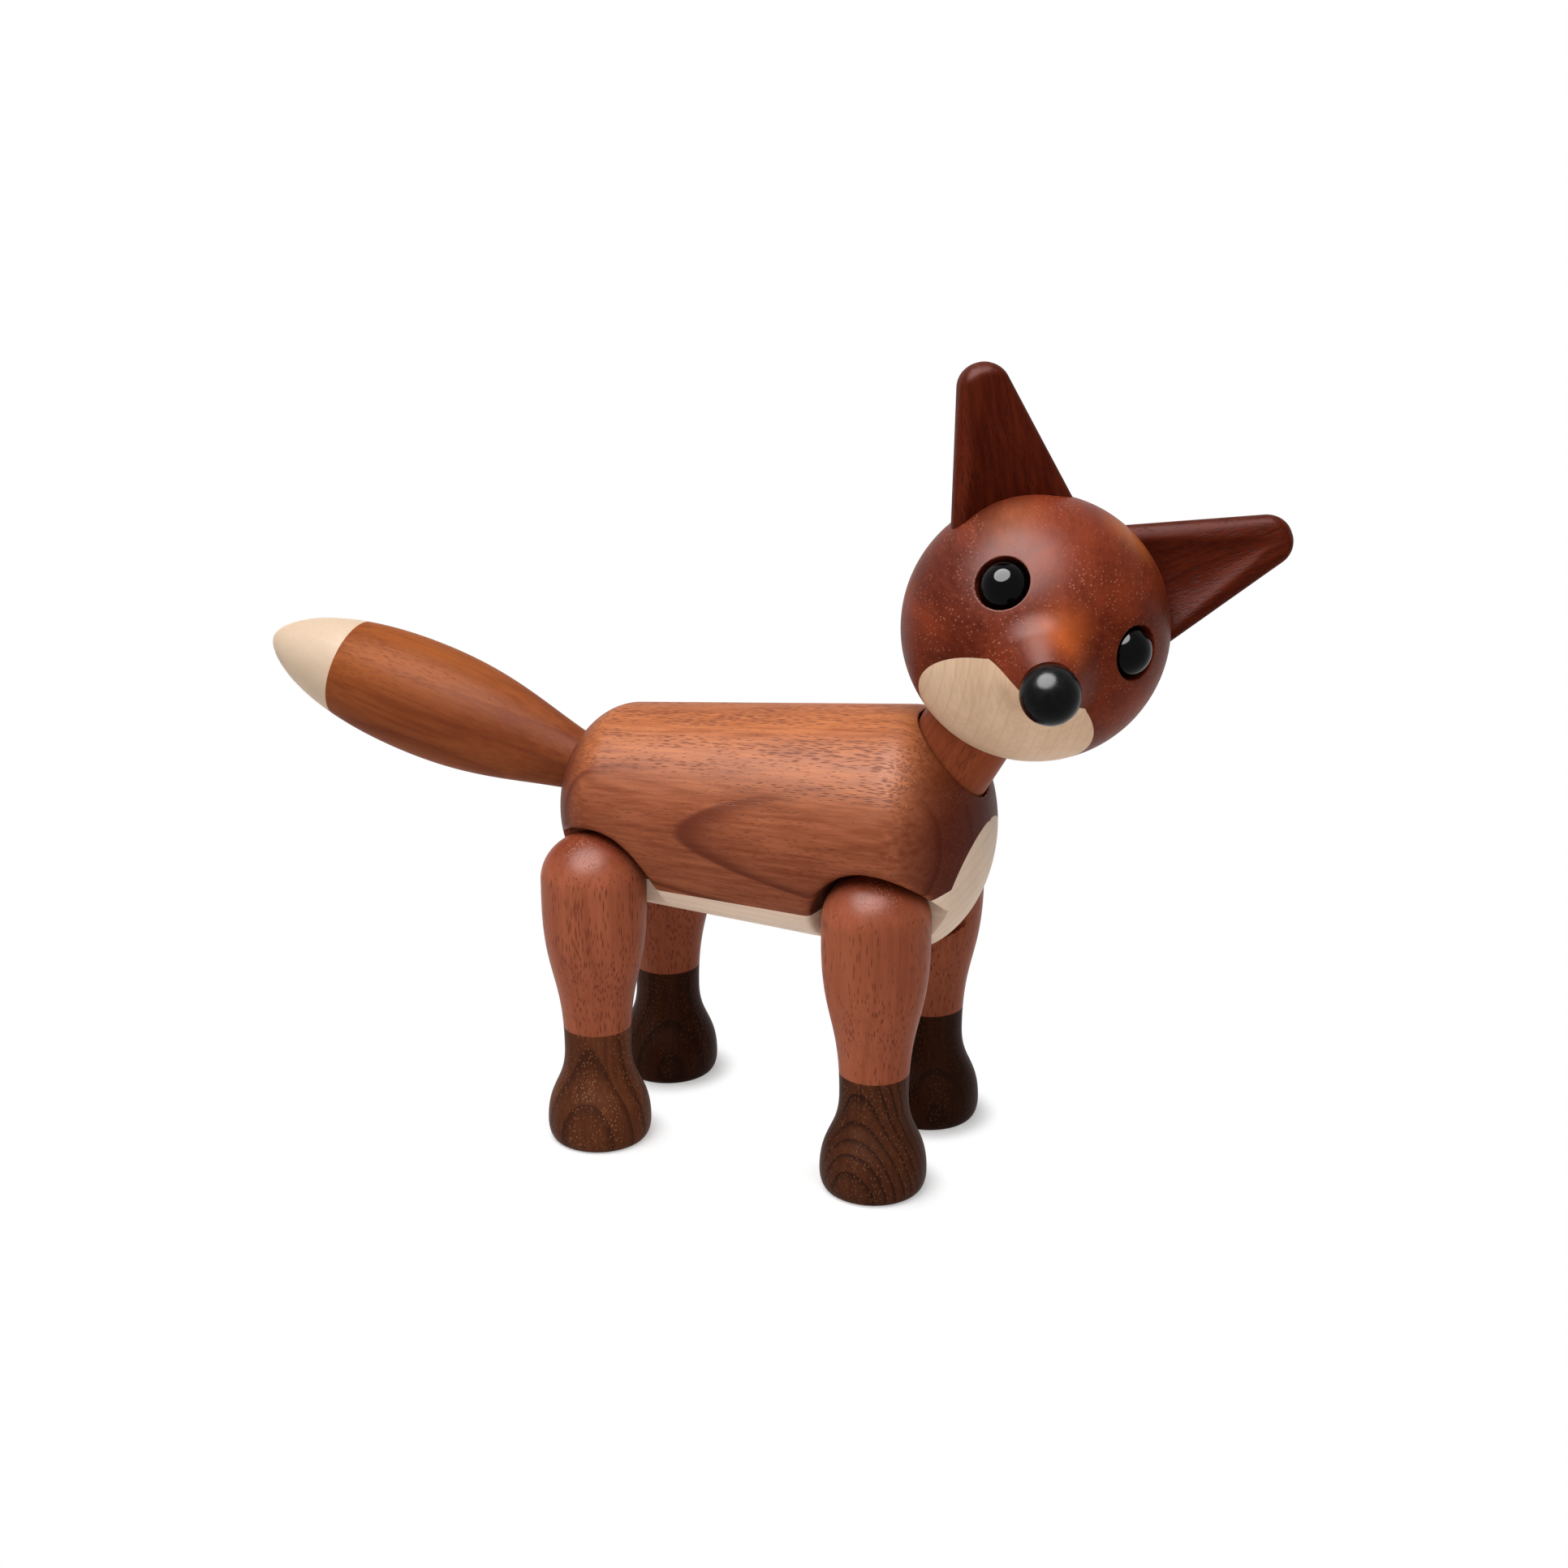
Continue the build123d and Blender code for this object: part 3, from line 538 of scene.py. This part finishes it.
def bellyCut(s):  # height of the belly line above the torso's axis: the highest of three straight lines
    axisX, axisZ = torsoRear[0] + s * torsoAxis[0], torsoRear[2] + s * torsoAxis[2]
    corner = (torsoForm["cornerX"], torsoForm["cornerHeight"])
    step = (torsoForm["stepX"], torsoForm["bellyHeight"])
    stepSlope = math.atan2(corner[1] - step[1], corner[0] - step[0])
    lines = [(step, 0.0), (step, stepSlope), (corner, math.radians(torsoForm["bibSlope"]))]
    heights = []
    for (px, pz), slope in lines:
        normal = (-math.sin(slope), math.cos(slope))
        gap = (axisX - px) * normal[0] + (axisZ - pz) * normal[1]
        heights.append(-gap / (torsoUp[0] * normal[0] + torsoUp[2] * normal[1]))
    return np.max(heights, 0)


def ovalGap(x, z):  # distance outside the pocket's oval, from its level set and slope
    a, b = pocketForm["halfWidth"], pocketForm["halfHeight"]
    level = np.hypot(x / a, z / b)
    return (level - 1) * level / np.maximum(np.hypot(x / a ** 2, z / b ** 2), tiny)


def pocketed(points):  # draws the flanks in to the pocket floors, with a rounded edge
    out = points.copy()
    for hipX in (stance["wheelbase"] / 2, -stance["wheelbase"] / 2):
        depth = np.abs(out[..., 1])
        d = ovalGap(points[..., 0] - hipX, points[..., 2] - pocketForm["height"])
        eased = depth - roundDrop(np.maximum(d, 0), pocketForm["edge"])
        share = np.clip(-d / pocketForm["wall"], 0, 1)
        drawn = eased + (pocketForm["floor"] - eased) * share
        drawn = np.where(depth > pocketForm["floor"], np.maximum(drawn, pocketForm["floor"]), depth)
        out[..., 1] = np.sign(out[..., 1]) * np.where(d < pocketForm["edge"], drawn, depth)
    return out


def torsoPart(upper, cols):
    line = torsoProfile()
    cut = bellyCut(line[:, 0])
    rings = partedTurn(torsoRear, torsoAxis, torsoUp, line, cut, upper, cols, torsoDetail["flatCols"])
    return pocketed(rings)


upperRings = drilled(torsoPart(True, torsoDetail["torsoCols"]), headCentre, neckAxis, neckSocket)
torso = stitch("torsoWhole", upperRings)
belly = stitch("bellyInlay", torsoPart(False, torsoDetail["bellyCols"]))
place(torso, "trunk", "torso", torsoWood)
place(belly, "trunk", "belly_inlay", bellyMaple)
print("torso and belly made")


# legs and feet, one turned profile cut at the ankle

legForm = {
    "sole": 8.0, "foot": 9.35, "footWidest": 3.2, "ankle": 6.0, "waist": 17.5, "joint": 21.7,
    "thigh": 9.3, "thighStart": 46.0, "crownStart": 49.6, "top": 58.0,
    "hipFace": 10.8, "notch": 15.0, "notchFade": 1.5, "notchSlope": 8.0,
}
legDetail = {
    "sole": 8, "toe": 14, "ankle": 40, "shank": 80, "thigh": 8, "crown": 40, "joint": 6,
    "footCols": 144, "legCols": 160,
}
legPith = {"spread": 1.7, "aside": 9.0, "height": 30.0}
footLook = {  # how each walnut foot was cut: pith from the leg's axis, ring taper, spacing and share, tone; the left feet's low tone is partly painted shade
    "front_right": {"pith": (-3.4, -27.8, 0.0), "taper": 0.26, "spacing": 1.7, "rings": 0.85, "tone": 0.8},
    "front_left": {"pith": (13.0, -22.0, 3.0), "taper": 0.03, "spacing": 2.4, "rings": 0.85, "tone": 0.45},
    "rear_right": {"pith": (2.8, -25.6, 7.3), "taper": 0.14, "spacing": 3.6, "rings": 0.6, "tone": 1.3},
    "rear_left": {"pith": (12.0, -24.0, 9.0), "taper": 0.05, "spacing": 2.6, "rings": 0.85, "tone": 0.5},
}


def legCurve():  # (height, radius) from the middle of the sole to the crown
    f, count = legForm, legDetail
    heel, calf = (f["footWidest"] + f["waist"]) / 2, (f["waist"] + f["thighStart"]) / 2
    widest, waist = (f["footWidest"], f["foot"]), (f["waist"], f["ankle"])
    thighStart, crownStart = (f["thighStart"], f["thigh"]), (f["crownStart"], f["thigh"])
    sole = run((0, 0), (0, f["sole"]), count["sole"])
    toe = ovalArc((f["footWidest"], f["sole"]), f["footWidest"], f["foot"] - f["sole"], 180, 90, count["toe"])
    ankle = bezier([widest, (heel, f["foot"]), (heel, f["ankle"]), waist], count["ankle"])
    shank = bezier([waist, (calf, f["ankle"]), (calf, f["thigh"]), thighStart], count["shank"])
    thigh = run(thighStart, crownStart, count["thigh"])
    crown = ovalArc((f["crownStart"], 0), f["top"] - f["crownStart"], f["thigh"], 90, 0, count["crown"])
    return chain(sole, toe, ankle, shank, thigh, crown)


def notched(points, hipX, side):  # the flat against the torso, near the hip only
    d = np.hypot(points[..., 0] - hipX, points[..., 2] - stance["hipHeight"]) - legForm["notch"]
    limit = legForm["hipFace"] - np.clip(d, 0, legForm["notchFade"]) * legForm["notchSlope"]
    out = points.copy()
    out[..., 1] = side * np.maximum(side * points[..., 1], limit)
    return out


footLine, shankLine = splitAt(legCurve(), legForm["joint"], legDetail["joint"])
for legName in legNames:
    hipX = stance["wheelbase"] / 2 * (1 if "front" in legName else -1)
    side = 1 if "left" in legName else -1
    base = np.array([hipX, side * stance["track"] / 2, 0.0])
    body = legName + "_leg"
    footRings = turn(base, upright, forward, footLine, legDetail["footCols"])
    legRings = turn(base, upright, forward, shankLine, legDetail["legCols"])
    foot = stitch("foot_" + legName + "_turned", footRings)
    leg = stitch("leg_" + legName + "_turned", notched(legRings, hipX, side))
    look = footLook[legName]
    walnut = woodMaterial("walnut_" + legName, {
        **walnutLook, "grain": upright, "across": forward, "pith": base + np.array(look["pith"]),
        "Ring Taper": look["taper"], "Ring Spacing": look["spacing"], "ringShare": look["rings"],
        # the tone scales the dark, light and pore colours; on the left feet it is partly painted shade
        **{tone: tuple(c * look["tone"] for c in walnutLook[tone]) for tone in ("dark", "light", "pore")},
    })
    legWood = woodMaterial("legWood_" + legName, {
        **legLook, "grain": upright, "across": forward,
        "pith": (hipX * legPith["spread"], base[1] + legPith["aside"], legPith["height"]),
    })
    place(foot, body, "foot_" + legName, walnut)
    place(leg, body, "leg_" + legName, legWood)
print("legs and feet made")


# tail and its pale end

tailForm = {
    "root": (-37.0, 0.0, 65.7), "rise": 15.2, "length": 65.0, "rootRadius": 5.5, "rootSlope": 0.21,
    "rootLead": 10.5, "radius": 10.6, "widest": 32.0, "swellLead": 14.0, "endHold": 0.72, "endTurn": 1.0,
    "endFullness": 0.28, "tipLength": 17.5, "overlap": 4.0,
}
tailDetail = {"root": 4, "collar": 6, "swell": 60, "taper": 90, "joint": 6, "cols": 160}


def tailCurve():  # (distance, radius) from inside the torso to the tip
    f, count = tailForm, tailDetail
    pointRun = f["length"] - f["widest"]
    rootEnd = (-f["overlap"], f["rootRadius"] - f["rootSlope"] * f["overlap"])
    swell = bezier([
        (0, f["rootRadius"]),
        (f["rootLead"], f["rootRadius"] + f["rootSlope"] * f["rootLead"]),
        (f["widest"] - f["swellLead"], f["radius"]),
        (f["widest"], f["radius"]),
    ], count["swell"])
    taper = bezier([
        (f["widest"], f["radius"]),
        (f["widest"] + f["endHold"] * pointRun, f["radius"]),
        (f["widest"] + f["endTurn"] * pointRun, f["endFullness"] * f["radius"]),
        (f["length"], 0),
    ], count["taper"])
    root = run((-f["overlap"], 0), rootEnd, count["root"])
    collar = run(rootEnd, (0, f["rootRadius"]), count["collar"])
    return chain(root, collar, swell, taper)


rise = math.radians(tailForm["rise"])
tailAxis = np.array([-math.cos(rise), 0, math.sin(rise)])
tailUp = np.array([math.sin(rise), 0, math.cos(rise)])
tailRoot = np.array(tailForm["root"])
tailLine, tipLine = splitAt(tailCurve(), tailForm["length"] - tailForm["tipLength"], tailDetail["joint"])
tail = stitch("tailTurned", turn(tailRoot, tailAxis, tailUp, tailLine, tailDetail["cols"]))
tailTip = stitch("tailTipTurned", turn(tailRoot, tailAxis, tailUp, tipLine, tailDetail["cols"]))
place(tail, "trunk", "tail", tailWood)
place(tailTip, "trunk", "tail_tip", tipMaple)
print("tail made")


# neck

neckDetail = {"foot": 6, "edge": 4, "side": 24, "top": 5, "cols": 128}


def neckCurve():  # (distance, radius) from the socket's floor to inside the head
    f, count = neckForm, neckDetail
    top = headForm["radius"] - f["overlap"]
    edgeStart, edgeEnd = (-f["foot"], f["radius"] - f["edge"]), (-f["foot"] + f["edge"], f["radius"])
    return chain(
        run((-f["foot"], 0), edgeStart, count["foot"]),
        run(edgeStart, edgeEnd, count["edge"]),
        run(edgeEnd, (-top, f["radius"]), count["side"]),
        run((-top, f["radius"]), (-top, 0), count["top"]),
    )


neckUp = unit(np.cross(neckAxis, leftward))
neck = stitch("neckTurned", turn(headCentre, neckAxis, neckUp, neckCurve(), neckDetail["cols"]))
place(neck, "head_and_neck", "neck", neckWood)


# head and chin, one turned form parted along two flat cuts

headDetail = {
    "back": 90, "face": 120, "faceStart": 70, "hollow": 24, "snout": 24, "tip": 6,
    "headCols": 300, "chinCols": 150, "flatCols": 20,
}
eyeForm = {"spread": 37.4, "lift": 22.3, "radius": 4.2, "sink": 2.6, "seat": 0.8}
eyeCentre = headForm["radius"] - eyeForm["sink"]
eyeHole = {
    "radius": 4.35, "floor": eyeCentre - eyeForm["radius"] * eyeForm["seat"],
    "rim": 0.3, "wall": 0.25, "span": (5.0, math.inf),
}


def headProfile():  # a ball, a rounded hollow and a cone, from the back of the head to the snout's end
    radius, fillet = headForm["radius"], headForm["fillet"]
    angle, count = math.radians(headForm["snoutAngle"]), headDetail
    tip = np.array([headForm["snoutReach"], headForm["snoutTip"]])
    along, out = np.array([-math.cos(angle), math.sin(angle)]), np.array([math.sin(angle), math.cos(angle)])
    base = tip + out * fillet  # the fillet's centre lies on this line and at ball radius + fillet
    b, c = base @ along, base @ base - (radius + fillet) ** 2
    centre = base + along * (-b - math.sqrt(b * b - c))
    onCone, onBall = centre - out * fillet, unit(centre) * radius
    ballEnd = math.degrees(math.atan2(onBall[1], onBall[0]))
    start = math.degrees(math.atan2(*(onBall - centre)[::-1]))
    end = math.degrees(math.atan2(*(onCone - centre)[::-1]))
    back = ovalArc((0, 0), radius, radius, 180, count["faceStart"], count["back"])
    face = ovalArc((0, 0), radius, radius, count["faceStart"], ballEnd, count["face"])
    hollow = ovalArc(centre, fillet, fillet, start, end, count["hollow"])
    snout = run(onCone, tip, count["snout"])
    return chain(back, face, hollow, snout, run(tip, (tip[0], 0), count["tip"]))


def chinCut(s):  # height of the chin line above the face axis: the lower of a level and a sloping line
    slope = math.tan(math.radians(headForm["chinSlope"]))
    return -headForm["chinDrop"] + np.minimum(0, (s - headForm["chinCorner"]) * slope)


def headPart(upper, cols):
    line = headProfile()
    cut = chinCut(line[:, 0])
    return partedTurn(headCentre, faceAxis, crownAxis, line, cut, upper, cols, headDetail["flatCols"])


lift, spread = math.radians(eyeForm["lift"]), math.radians(eyeForm["spread"])
eyeAxes = {}
for name, sign in sides:
    outward = math.cos(spread) * faceAxis + sign * math.sin(spread) * leftAxis
    eyeAxes[name] = math.cos(lift) * outward + math.sin(lift) * crownAxis
headRings = headPart(True, headDetail["headCols"])
for axis in eyeAxes.values():
    headRings = drilled(headRings, headCentre, axis, eyeHole)
head = stitch("headTurned", headRings)
chin = stitch("chinInlay", headPart(False, headDetail["chinCols"]))
place(head, "head_and_neck", "head", headWood)
place(chin, "head_and_neck", "chin_inlay", chinMaple)


# eyes and nose

noseForm = {"radius": 4.75, "reach": 30.4}
beadDetail = {"ball": 60, "seat": 6, "cols": 96}
eyeLine = ovalArc((0, 0), eyeForm["radius"], eyeForm["radius"], 180, 0, beadDetail["ball"])
for name, axis in eyeAxes.items():
    beadUp = unit(np.cross(axis, leftAxis))
    eyeRings = turn(headCentre + axis * eyeCentre, axis, beadUp, eyeLine, beadDetail["cols"])
    eye = stitch("eyeBead_" + name, eyeRings)
    place(eye, "head_and_neck", "eye_" + name, beadBlack)
seat = headForm["snoutReach"] - noseForm["reach"]
seatRadius = math.sqrt(noseForm["radius"] ** 2 - seat ** 2)
seatAngle = math.degrees(math.atan2(seatRadius, seat))
noseLine = chain(
    run((seat, 0), (seat, seatRadius), beadDetail["seat"]),
    ovalArc((0, 0), noseForm["radius"], noseForm["radius"], seatAngle, 0, beadDetail["ball"]),
)
noseCentre = headCentre + faceAxis * noseForm["reach"]
nose = stitch("noseBall", turn(noseCentre, faceAxis, crownAxis, noseLine, beadDetail["cols"]))
place(nose, "head_and_neck", "nose", noseBlack)
print("head, eyes and nose made")


# ears: a flat tapered blade with rounded edges and a hollowed front

earForm = {
    "leanOut": 40.0, "leanBack": 6.3, "baseOut": 12.9, "baseUp": 15.1, "baseBack": 2.2, "toeIn": 14.0,
    "width": 20.2, "height": 24.2, "tipRadius": 4.3, "tipShift": 1.1, "thickness": 6.0, "foot": 4.0,
    "scoop": 2.6, "scoopTilt": 31.0, "scoopStop": 2.5, "rimSoftness": 0.5, "squareness": 3.0, "tipRound": 2.6,
}
earDetail = {"edge": 70, "tip": 40, "cols": 120}
earPith = {"behind": 24.0, "aside": 3.0}


def scoopFace(x, h):  # lower wall of a cone whose point is near the ear's tip, solved for height
    f = earForm
    length = f["height"] - f["scoopStop"]
    tilt = math.radians(f["scoopTilt"])
    spread = tilt + math.atan(f["scoop"] / length)
    k, s, c = math.cos(spread) ** 2, math.sin(tilt), math.cos(tilt)
    u, v = x - f["tipShift"], np.maximum(length - h, 0)
    inside = np.maximum((c * c - k) * v * v - k * u * u, 0)
    return f["thickness"] / 2 + (c * s * v - np.sqrt((c * s * v) ** 2 + (k - s * s) * inside)) / (k - s * s)


def softMin(a, b, width):  # the lower of two, rounded where they cross
    t = np.clip(0.5 + 0.5 * (b - a) / width, 0, 1)
    return b + (a - b) * t - width * t * (1 - t)


def onHead(x, y, z, sign):  # forward, out to one side and up, as the head has them
    return faceAxis * x + leftAxis * y * sign + crownAxis * z


def earAxes(sign):  # foot, breadth, length and facing of one ear
    f = earForm
    back, lean = math.radians(f["leanBack"]), math.radians(f["leanOut"])
    up = onHead(-math.sin(back), math.cos(back) * math.sin(lean), math.cos(back) * math.cos(lean), sign)
    across = onHead(math.tan(math.radians(f["toeIn"])), math.cos(lean), -math.sin(lean), sign)
    facing = unit(np.cross(across, up)) * sign
    origin = headCentre + onHead(-f["baseBack"], f["baseOut"], f["baseUp"], sign)
    return origin, np.cross(up, facing) * sign, up, facing


def earRings(sign):
    f = earForm
    origin, across, up, facing = earAxes(sign)
    tip = np.array([f["tipShift"], f["height"] - f["tipRadius"]])
    flare = f["foot"] * (f["width"] / 2 - f["tipRadius"]) / tip[1]
    edges = []
    for edge in (-1, 1):  # each edge: straight to where it touches the tip's circle, then round to the top
        corner = np.array([edge * (f["width"] / 2 + flare), -f["foot"]])
        reach = np.linalg.norm(tip - corner)
        touch = math.acos(f["tipRadius"] / reach)
        towards = math.atan2(*(corner - tip)[::-1])
        angle = math.degrees(towards + edge * touch)
        angle = angle + 360 if angle < -90 else angle
        arc = ovalArc(tip, f["tipRadius"], f["tipRadius"], angle, 90, earDetail["tip"])
        edges.append(chain(run(corner, arc[0], earDetail["edge"]), arc))
    left, right = edges
    middle, half = (left + right) / 2, (right - left) / 2
    a = np.linspace(0, 2 * math.pi, earDetail["cols"], endpoint=False)
    power = 2 / f["squareness"]
    wide = np.sign(np.cos(a)) * np.abs(np.cos(a)) ** power
    thick = np.sign(np.sin(a)) * np.abs(np.sin(a)) ** power
    x = middle[:, :1] + half[:, :1] * wide
    h = middle[:, 1:] + half[:, 1:] * wide
    fade = np.clip((f["height"] - middle[:, 1:]) / f["tipRound"], 0, 1)
    z = f["thickness"] / 2 * np.sqrt(1 - (1 - fade) ** 2) * thick
    z = np.where(thick > 0, softMin(z, scoopFace(x, h), f["rimSoftness"]), z)
    rings = origin + x[..., None] * across + h[..., None] * up + z[..., None] * facing
    foot = np.repeat(rings[:1].mean(1, keepdims=True), rings.shape[1], 1)
    return np.concatenate([foot, rings])


for name, sign in sides:
    ear = stitch("earBlade_" + name, earRings(sign))
    origin, across, up, facing = earAxes(sign)
    earWood = woodMaterial("earWood_" + name, {
        **earLook, "grain": up, "across": across,
        "pith": origin - facing * earPith["behind"] + across * earPith["aside"],
    })
    place(ear, "head_and_neck", "ear_" + name, earWood)
print("ears made")


# inner pieces keep their solids

for nodeName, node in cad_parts.items():
    if "dowel" in nodeName or "keeper" in nodeName or nodeName in ("neck_screw", "neck_washer"):
        finish = dowelWood if "dowel" in nodeName else plainSteel
        for materialSlot in node.material_slots:
            materialSlot.material = finish


# floor, light and camera, in metres

studio = {
    "floorSize": 6.0, "floorLit": 0.8, "floorSeen": 0.95,
    "shadowShare": 0.6, "shadowReach": (0.0088, 0.0138), "fill": 0.12, "lampUp": (0.0, 1.0, 0.1),
}
lamps = [  # a lamp either lights the surface or is seen in its gloss
    {"name": "topSoftbox", "power": 6.6, "size": 0.7, "sheen": False,
     "at": (-0.08, -0.16, 0.62), "aim": (0.0, 0.0, 0.06)},
    {"name": "topSheen", "power": 62.0, "size": 0.66, "sheen": True,
     "at": (-0.06, -0.22, 0.62), "aim": (0.0, 0.0, 0.06)},
    {"name": "frontFill", "power": 0.8, "size": 0.8, "sheen": False,
     "at": (0.45, -0.45, 0.2), "aim": (0.0, 0.0, 0.07)},
]
photoView = {
    "at": (0.1433, -0.3509, 0.1913), "elevation": 18.35, "azimuth": 21.7,
    "lens": 52.17, "sensor": 36.0, "clip": (0.01, 20.0),
}


def seenRays(t):  # 1 for what the camera sees, directly, in a gloss or through glass
    paths = t.add("ShaderNodeLightPath")
    direct = t.math("MAXIMUM", paths.outputs["Is Camera Ray"], paths.outputs["Is Transmission Ray"])
    return t.math("MAXIMUM", direct, paths.outputs["Is Glossy Ray"])


def floorMaterial():  # white where it is seen, but it keeps the shadow near the feet
    material, t = newMaterial("paleFloor")
    seen = seenRays(t)
    where = t.add("ShaderNodeTexCoord").outputs["Object"]
    halfBase, halfTrack = stance["wheelbase"] / 2 * mm, stance["track"] / 2 * mm
    feet = [(x * halfBase, y * halfTrack, 0.0) for x in (-1, 1) for y in (-1, 1)]
    away = t.distance(where, feet[0])
    for foot in feet[1:]:
        away = t.math("MINIMUM", away, t.distance(where, foot))
    shade = t.ramp(away, *studio["shadowReach"], studio["shadowShare"], 0.0)
    share = t.math("MULTIPLY", seen, t.math("SUBTRACT", 1.0, shade))
    tint = t.ramp(seen, 0.0, 1.0, studio["floorLit"], studio["floorSeen"])
    matte = t.add("ShaderNodeBsdfDiffuse", {"Color": tint})
    glow = t.add("ShaderNodeEmission", {"Strength": 1.0})
    both = t.add("ShaderNodeMixShader", {0: share, 1: matte.outputs[0], 2: glow.outputs[0]})
    t.put(t.add("ShaderNodeOutputMaterial").inputs["Surface"], both.outputs[0])
    return material


def makeFloor():
    h = studio["floorSize"] / 2
    mesh = bpy.data.meshes.new("floorPlane")
    mesh.from_pydata([(-h, -h, 0), (h, -h, 0), (h, h, 0), (-h, h, 0)], [], [(0, 1, 2, 3)])
    floor = bpy.data.objects.new("floorPlane", mesh)
    mesh.materials.append(floorMaterial())
    bpy.context.scene.collection.objects.link(floor)


def makeWorld():  # white where it is seen, and a soft fill elsewhere
    world = bpy.data.worlds.new("studioWorld")
    world.use_nodes = True
    world.node_tree.nodes.clear()
    t = Tree(world.node_tree)
    sky = t.add("ShaderNodeBackground", {"Strength": t.ramp(seenRays(t), 0.0, 1.0, studio["fill"], 1.0)})
    sky.inputs["Color"].default_value = (1, 1, 1, 1)
    t.put(t.add("ShaderNodeOutputWorld").inputs["Surface"], sky.outputs[0])
    bpy.context.scene.world = world


def standAt(thing, at, right, back):  # places a lamp or camera that looks away from back
    axes = np.stack([right, np.cross(back, right), back], 1)
    thing.matrix_world = Matrix.Translation(at) @ Matrix(axes.tolist()).to_4x4()
    bpy.context.scene.collection.objects.link(thing)


def softLamp(spec):
    data = bpy.data.lights.new(spec["name"], "AREA")
    data.energy, data.size, data.shape = spec["power"], spec["size"], "DISK"
    lamp = bpy.data.objects.new(spec["name"], data)
    back = unit(np.array(spec["at"]) - np.array(spec["aim"]))
    standAt(lamp, spec["at"], unit(np.cross(studio["lampUp"], back)), back)
    lamp.visible_glossy, lamp.visible_diffuse = spec["sheen"], not spec["sheen"]


def makeCamera():
    data = bpy.data.cameras.new("photoCamera")
    data.sensor_width, data.lens = photoView["sensor"], photoView["lens"]
    data.clip_start, data.clip_end = photoView["clip"]
    camera = bpy.data.objects.new("photoCamera", data)
    elevation, azimuth = math.radians(photoView["elevation"]), math.radians(photoView["azimuth"])
    level = math.cos(elevation)
    back = np.array([math.sin(azimuth) * level, -math.cos(azimuth) * level, math.sin(elevation)])
    right = np.array([math.cos(azimuth), math.sin(azimuth), 0])
    standAt(camera, photoView["at"], right, back)
    bpy.context.scene.camera = camera


makeFloor()
makeWorld()
for spec in lamps:
    softLamp(spec)
makeCamera()
bpy.context.scene.view_settings.view_transform = "Standard"
print("studio made")
